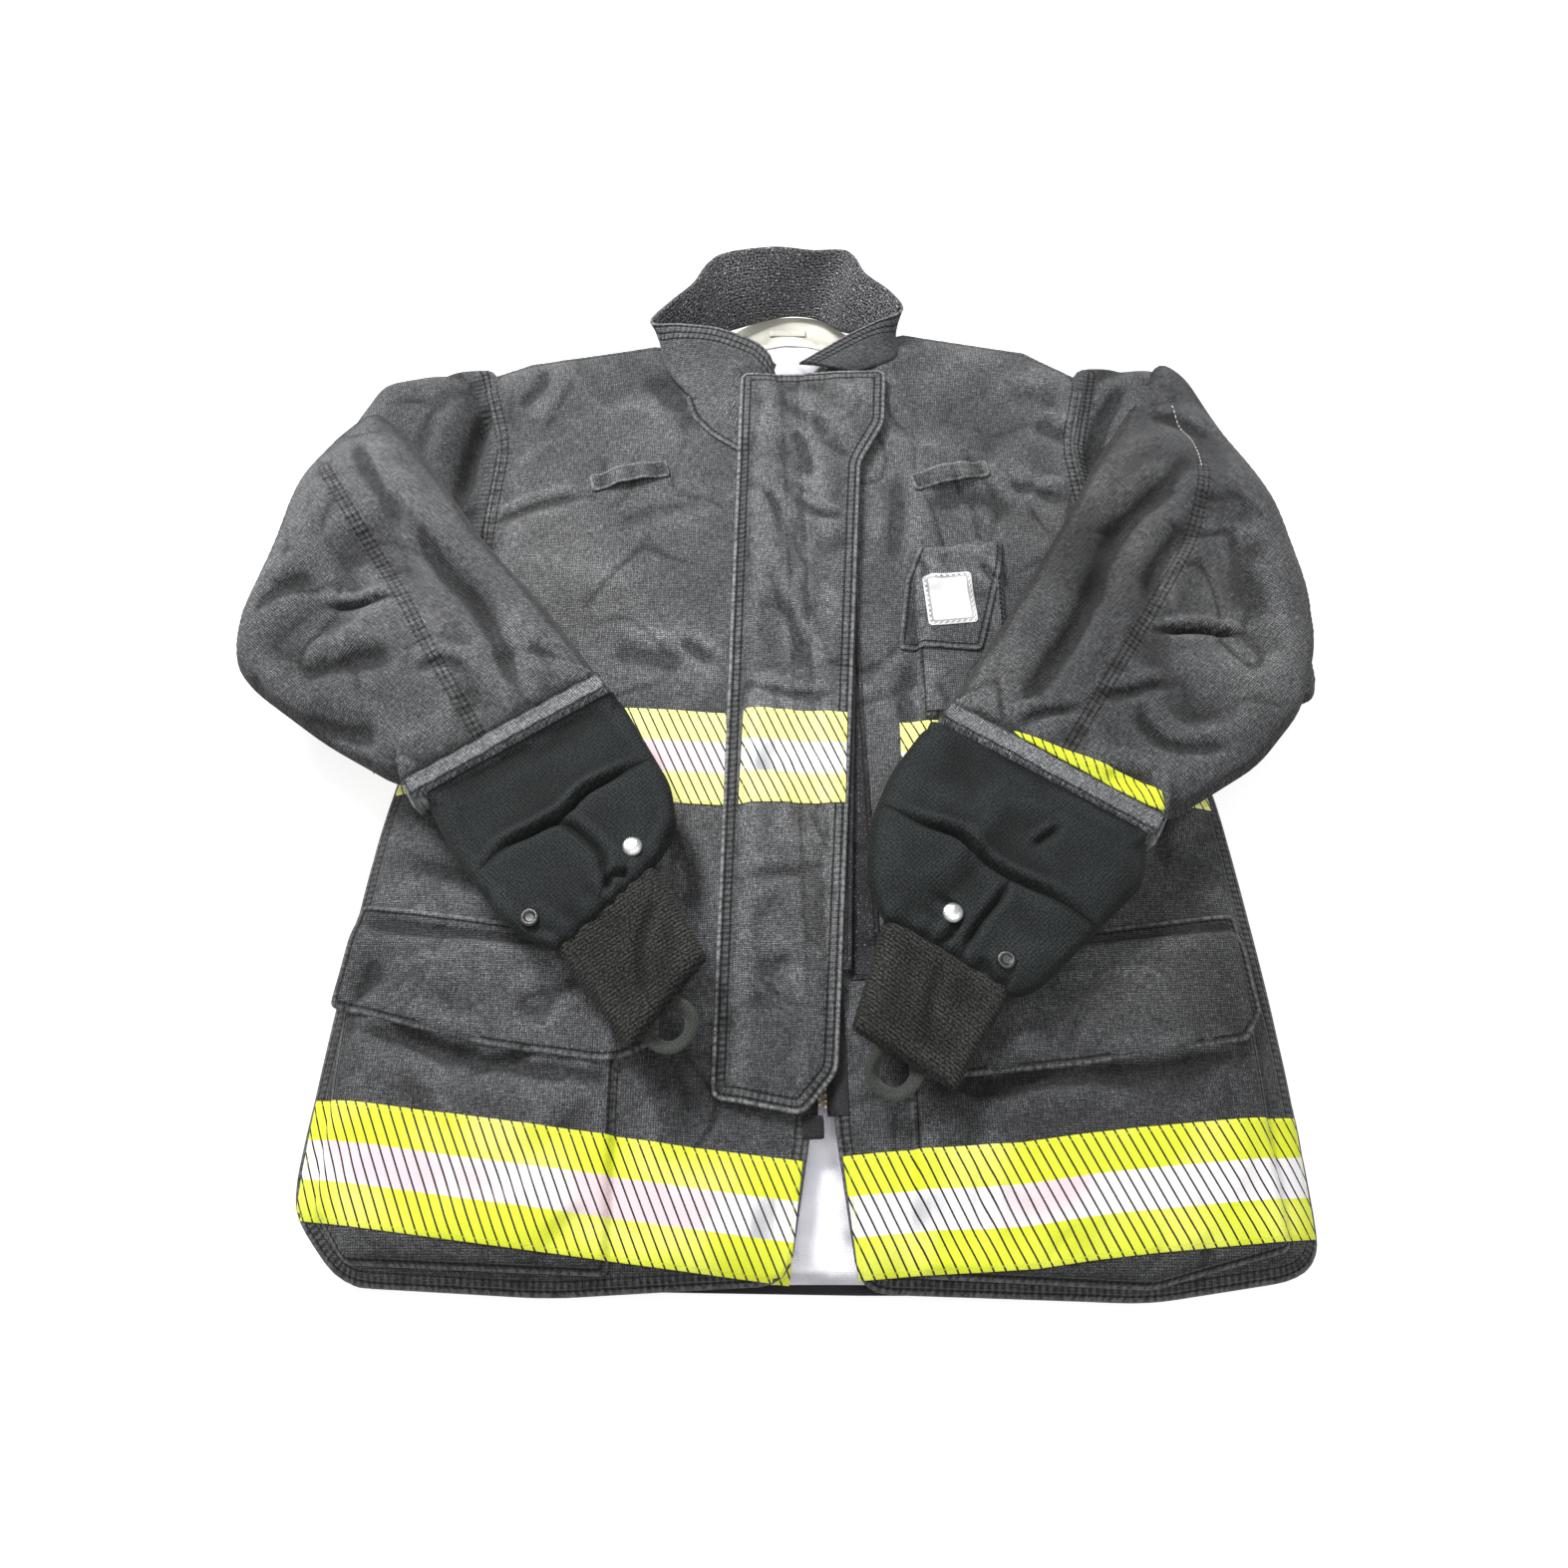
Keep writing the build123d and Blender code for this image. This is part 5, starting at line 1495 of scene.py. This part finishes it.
def tube(name, side, slot, node, outline, low, high, reach, relief, extra, material, grain, seams=EDGE,
         pitch=2.0, mouth=None):
    """A flattened tube of cloth on a forearm, closing to a seam all round but for a mouth that stays full."""
    middle = (low + high) / 2

    def swell(points):
        depth = distance(points, outline, True)
        if mouth is not None:
            depth = np.where(distance(points, mouth) < depth + 3, np.maximum(depth, reach * 0.72), depth)
        return depth, dome(depth, reach)

    def top(points):
        depth, full = swell(points)
        moved = np.clip(relief(points), -3, 3) * ease(depth / 18)
        return middle + (high - middle) * full + moved + extra(points)

    return cloth(name, f"{side}_forearm", slot, [node], outline, top,
                 lambda p: middle - (middle - low) * swell(p)[1], [material], "padded", pitch=pitch,
                 grain=grain, seams=seams)


def water_well(side):
    """The black well inside the cuff, creased and drawn in to the wristlet."""
    outline = rounded(trued(WELL_PLAN[side]), 10)

    def extra(points):
        away, along = nearest(points, WELL_FOOT[side])
        gather = 1.6 * np.sin(along * 0.42 + 1.5 * np.sin(along * 0.11)) * bell(away, 13)
        return folds(points, WELL_FOLDS[side]) + gather

    sewn = [(smooth_line(route), False) for route, *_ in WELL_FOLDS[side][:2]]
    node = f"{side}_water_well"
    return tube(f"{side}_well_cloth", side, "well_cloth", node, outline, level(node, 0), WELL_TOP + 1, 24,
                settled(outline, 0.03, 81 + SIGN[side], stiffness=6), extra, WELL, GRAIN[side], sewn, 2.2,
                WELL_MOUTH[side])


def wristlet(side):
    """The knitted wristlet, which reaches a little way into the well."""
    knit_plan = trued(plan(f"{side}_wristlet"))
    outline = knit_plan.copy()
    outline[distance(outline, WELL_FOOT[side]) < 12] -= ARM_WAY[side] * 9
    turn = math.degrees(math.atan2(ARM_WAY[side][1], ARM_WAY[side][0])) + 90
    tube(f"{side}_wristlet_knit", side, "black_knit", f"{side}_wristlet", rounded(outline, 4), *WRIST, 11,
         lambda p: ripples(p, 36, 9), lambda p: folds(p, WRIST_FOLDS[side]), KNIT, turn, [(knit_plan, True)])


def wrist_fray(side):
    """Short ends of yarn that stand out of the wristlet's end."""
    random = np.random.default_rng(5)
    corners, faces = [], []
    for mark in even(WRIST_END[side], 0.9):
        out = ARM_WAY[side] + random.normal(0, 0.5, 2)
        size = random.uniform(0.8, 3.4)
        z = WRIST[0] + random.uniform(3, 14)
        first = len(corners)
        aside = np.array([-out[1], out[0]]) * 0.22
        root = mark - out * 2
        tip = (*(mark + out * size), z + random.uniform(-1, 1))
        corners += [(*(root + aside), z), (*(root - aside), z), tip, (*root, z + 0.4)]
        faces += [[first + i for i in face] for face in ((0, 1, 2), (1, 3, 2), (3, 0, 2), (0, 3, 1))]
    fray = make_object(f"{side}_wristlet_fray", corners, faces, [THREAD_DARK])
    done(fray, f"{side}_forearm", (), None)


def cuff_binding(side):
    """The cuff's binding, rolled along both edges, with a step where its ends overlap."""
    def extra(points):
        away, along = nearest(points, CUFFS[side])
        step = ease((along - 92) / 5) if side == "right" else ease((along - 60) / 30)
        return -1.4 * step + 0.5 * np.sin(along * 0.35) - 0.9 * bell(np.abs(away) - 9, 2.2)

    node = f"{side}_cuff_binding"
    tube(f"{side}_cuff_binding_cloth", side, "grey_binding", node, rounded(trued(plan(node)), 3),
         level(node, 0), FOREARM[1] + 1.5, 3.5, lambda p: 0.5 * ripples(p, 30, 12), extra, BINDING,
         GRAIN[side])


def thumb_loop(side):
    """The thumb loop: a ring of tape that leans a little."""
    x, y = LOOP_CENTRES[side]
    corners, faces = [], []
    for k in range(LOOP_STEPS):
        angle = 2 * math.pi * k / LOOP_STEPS
        lean = 1 + 0.08 * math.sin(2 * angle + 0.6)
        for radius, z in LOOP_PROFILE:
            corners.append((x + radius * lean * math.cos(angle), y + radius * math.sin(angle),
                            WRIST[0] + z + 1.5 * math.sin(angle)))
        for j in range(4):
            a, b = 4 * k + j, 4 * k + (j + 1) % 4
            faces.append([a, (a + 4) % (4 * LOOP_STEPS), (b + 4) % (4 * LOOP_STEPS), b])
    loop = make_object(f"{side}_thumb_loop_tape", corners, faces, [LOOP_TAPE])
    give_uv(loop, "weave", np.array(corners)[:, :2])
    no_painted_shade(loop)
    done(loop, f"{side}_forearm", [f"{side}_thumb_loop"], None)


def snap_fasteners(side, well):
    """Two turned snap parts on the well: a domed cap and a dark socket."""
    corners, faces, slots = [], [], []
    surface = tree_of(well)
    for slot, ((x, y), profile) in enumerate(zip(SNAP_PLACES[side], SNAP_PROFILES)):
        around = [(x + 6 * math.cos(k), y + 6 * math.sin(k)) for k in range(6)]
        base = cast(surface, np.array(around), WELL_TOP).max() - 1.4
        first = len(corners)
        for radius, z in profile:
            for k in range(SNAP_STEPS):
                angle = 2 * math.pi * k / SNAP_STEPS
                corners.append((x + radius * math.cos(angle), y + radius * math.sin(angle), base + z))
        for ring in range(first, len(corners) - SNAP_STEPS, SNAP_STEPS):
            for k in range(SNAP_STEPS):
                a, b = ring + k, ring + (k + 1) % SNAP_STEPS
                faces.append([a, a + SNAP_STEPS, b + SNAP_STEPS, b])
        faces.append([first + k for k in range(SNAP_STEPS)])
        faces.append([len(corners) - 1 - k for k in range(SNAP_STEPS)])
        slots += [slot] * (len(faces) - len(slots))
    snaps = make_object(f"{side}_snap_fasteners", corners, faces, [SNAP, SNAP_DARK], slots)
    done(snaps, f"{side}_forearm", [f"{side}_cuff_snaps"], None)


for side in BOTH:
    well = water_well(side)
    wristlet(side)
    wrist_fray(side)
    cuff_binding(side)
    thumb_loop(side)
    snap_fasteners(side, well)


def sleeve_trim_line(x):
    """Top edge of the trim on the left sleeve."""
    return -36 - 0.62 * (x - 150)


frayed = smooth_line([(325, 262), (331, 232), (333, 200), (332, 182)])
fringe = stitches("left_sleeve_frayed_seam", [forearms["left"]], [frayed], PALE_THREAD, 0.5)
done(fringe, "left_forearm", (), None, ELBOW_BEND["left"])
trim("left_sleeve_trim_cloth", "left_forearm", "left_sleeve_trim", TRIM_LIME, sleeve_trim_line,
     trued([(164, -58), (248, -97), (262, -106), (264, -120), (252, -115), (168, -63)]),
     tree_of(forearms["left"]), 60)
cloth("right_sleeve_trim_cloth", "right_forearm", "reflective_trim", ["right_sleeve_trim"],
      trued([(-150, 12), (-168, 32), (-312, -44), (-300, -76)]), flat(FOREARM[0] - 0.3),
      flat(FOREARM[0] - 1.3), [TRIM_LIME], pitch=5.0,
      weave=lambda p: np.column_stack([p[:, 0], 40 - p[:, 1] + 0.55 * p[:, 0]]))

# ---------------------------------------------------------------- camera, light and floor
WHITE = (1.0, 1.0, 1.0, 1.0)
scene = bpy.context.scene
camera = linked("camera", bpy.data.cameras.new("camera"))
camera.data.sensor_width = 36.0
camera.data.lens = 28.6
camera.location = (0.0, -0.449, 0.886)
camera.rotation_euler = (math.radians(23.7), 0.0, 0.0)
scene.camera = camera
scene.view_settings.view_transform = "Standard"

world = bpy.data.worlds.new("studio")
world.use_nodes = True
background = world.node_tree.nodes["Background"]
background.inputs["Color"].default_value = WHITE
background.inputs["Strength"].default_value = 0.46
scene.world = world
LAMPS = (("key", (-0.75, 0.85, 1.35), 0.6, 38.0), ("fill", (0.3, -0.6, 1.7), 1.2, 10.0))
for name, place, size, power in LAMPS:
    lamp = bpy.data.lights.new(name, "AREA")
    lamp.size = size
    lamp.energy = power
    holder = linked(name, lamp)
    holder.location = place
    holder.rotation_euler = (-Vector(place)).to_track_quat("-Z", "Y").to_euler()

floor_look = solid("pale_floor", (0.35, 0.35, 0.35), 0.9, 0.0, 3, 0.01)
floor_glow = floor_look.node_tree.nodes["Principled BSDF"]
floor_glow.inputs["Emission Color"].default_value = WHITE
floor_glow.inputs["Emission Strength"].default_value = 0.8
floor_mesh = bpy.data.meshes.new("floor")
floor_mesh.from_pydata([(-4, -4, 0), (4, -4, 0), (4, 4, 0), (-4, 4, 0)], [], [(0, 1, 2, 3)])
floor_mesh.materials.append(floor_look)
floor = linked("floor", floor_mesh)
floor.location.z = -0.0006
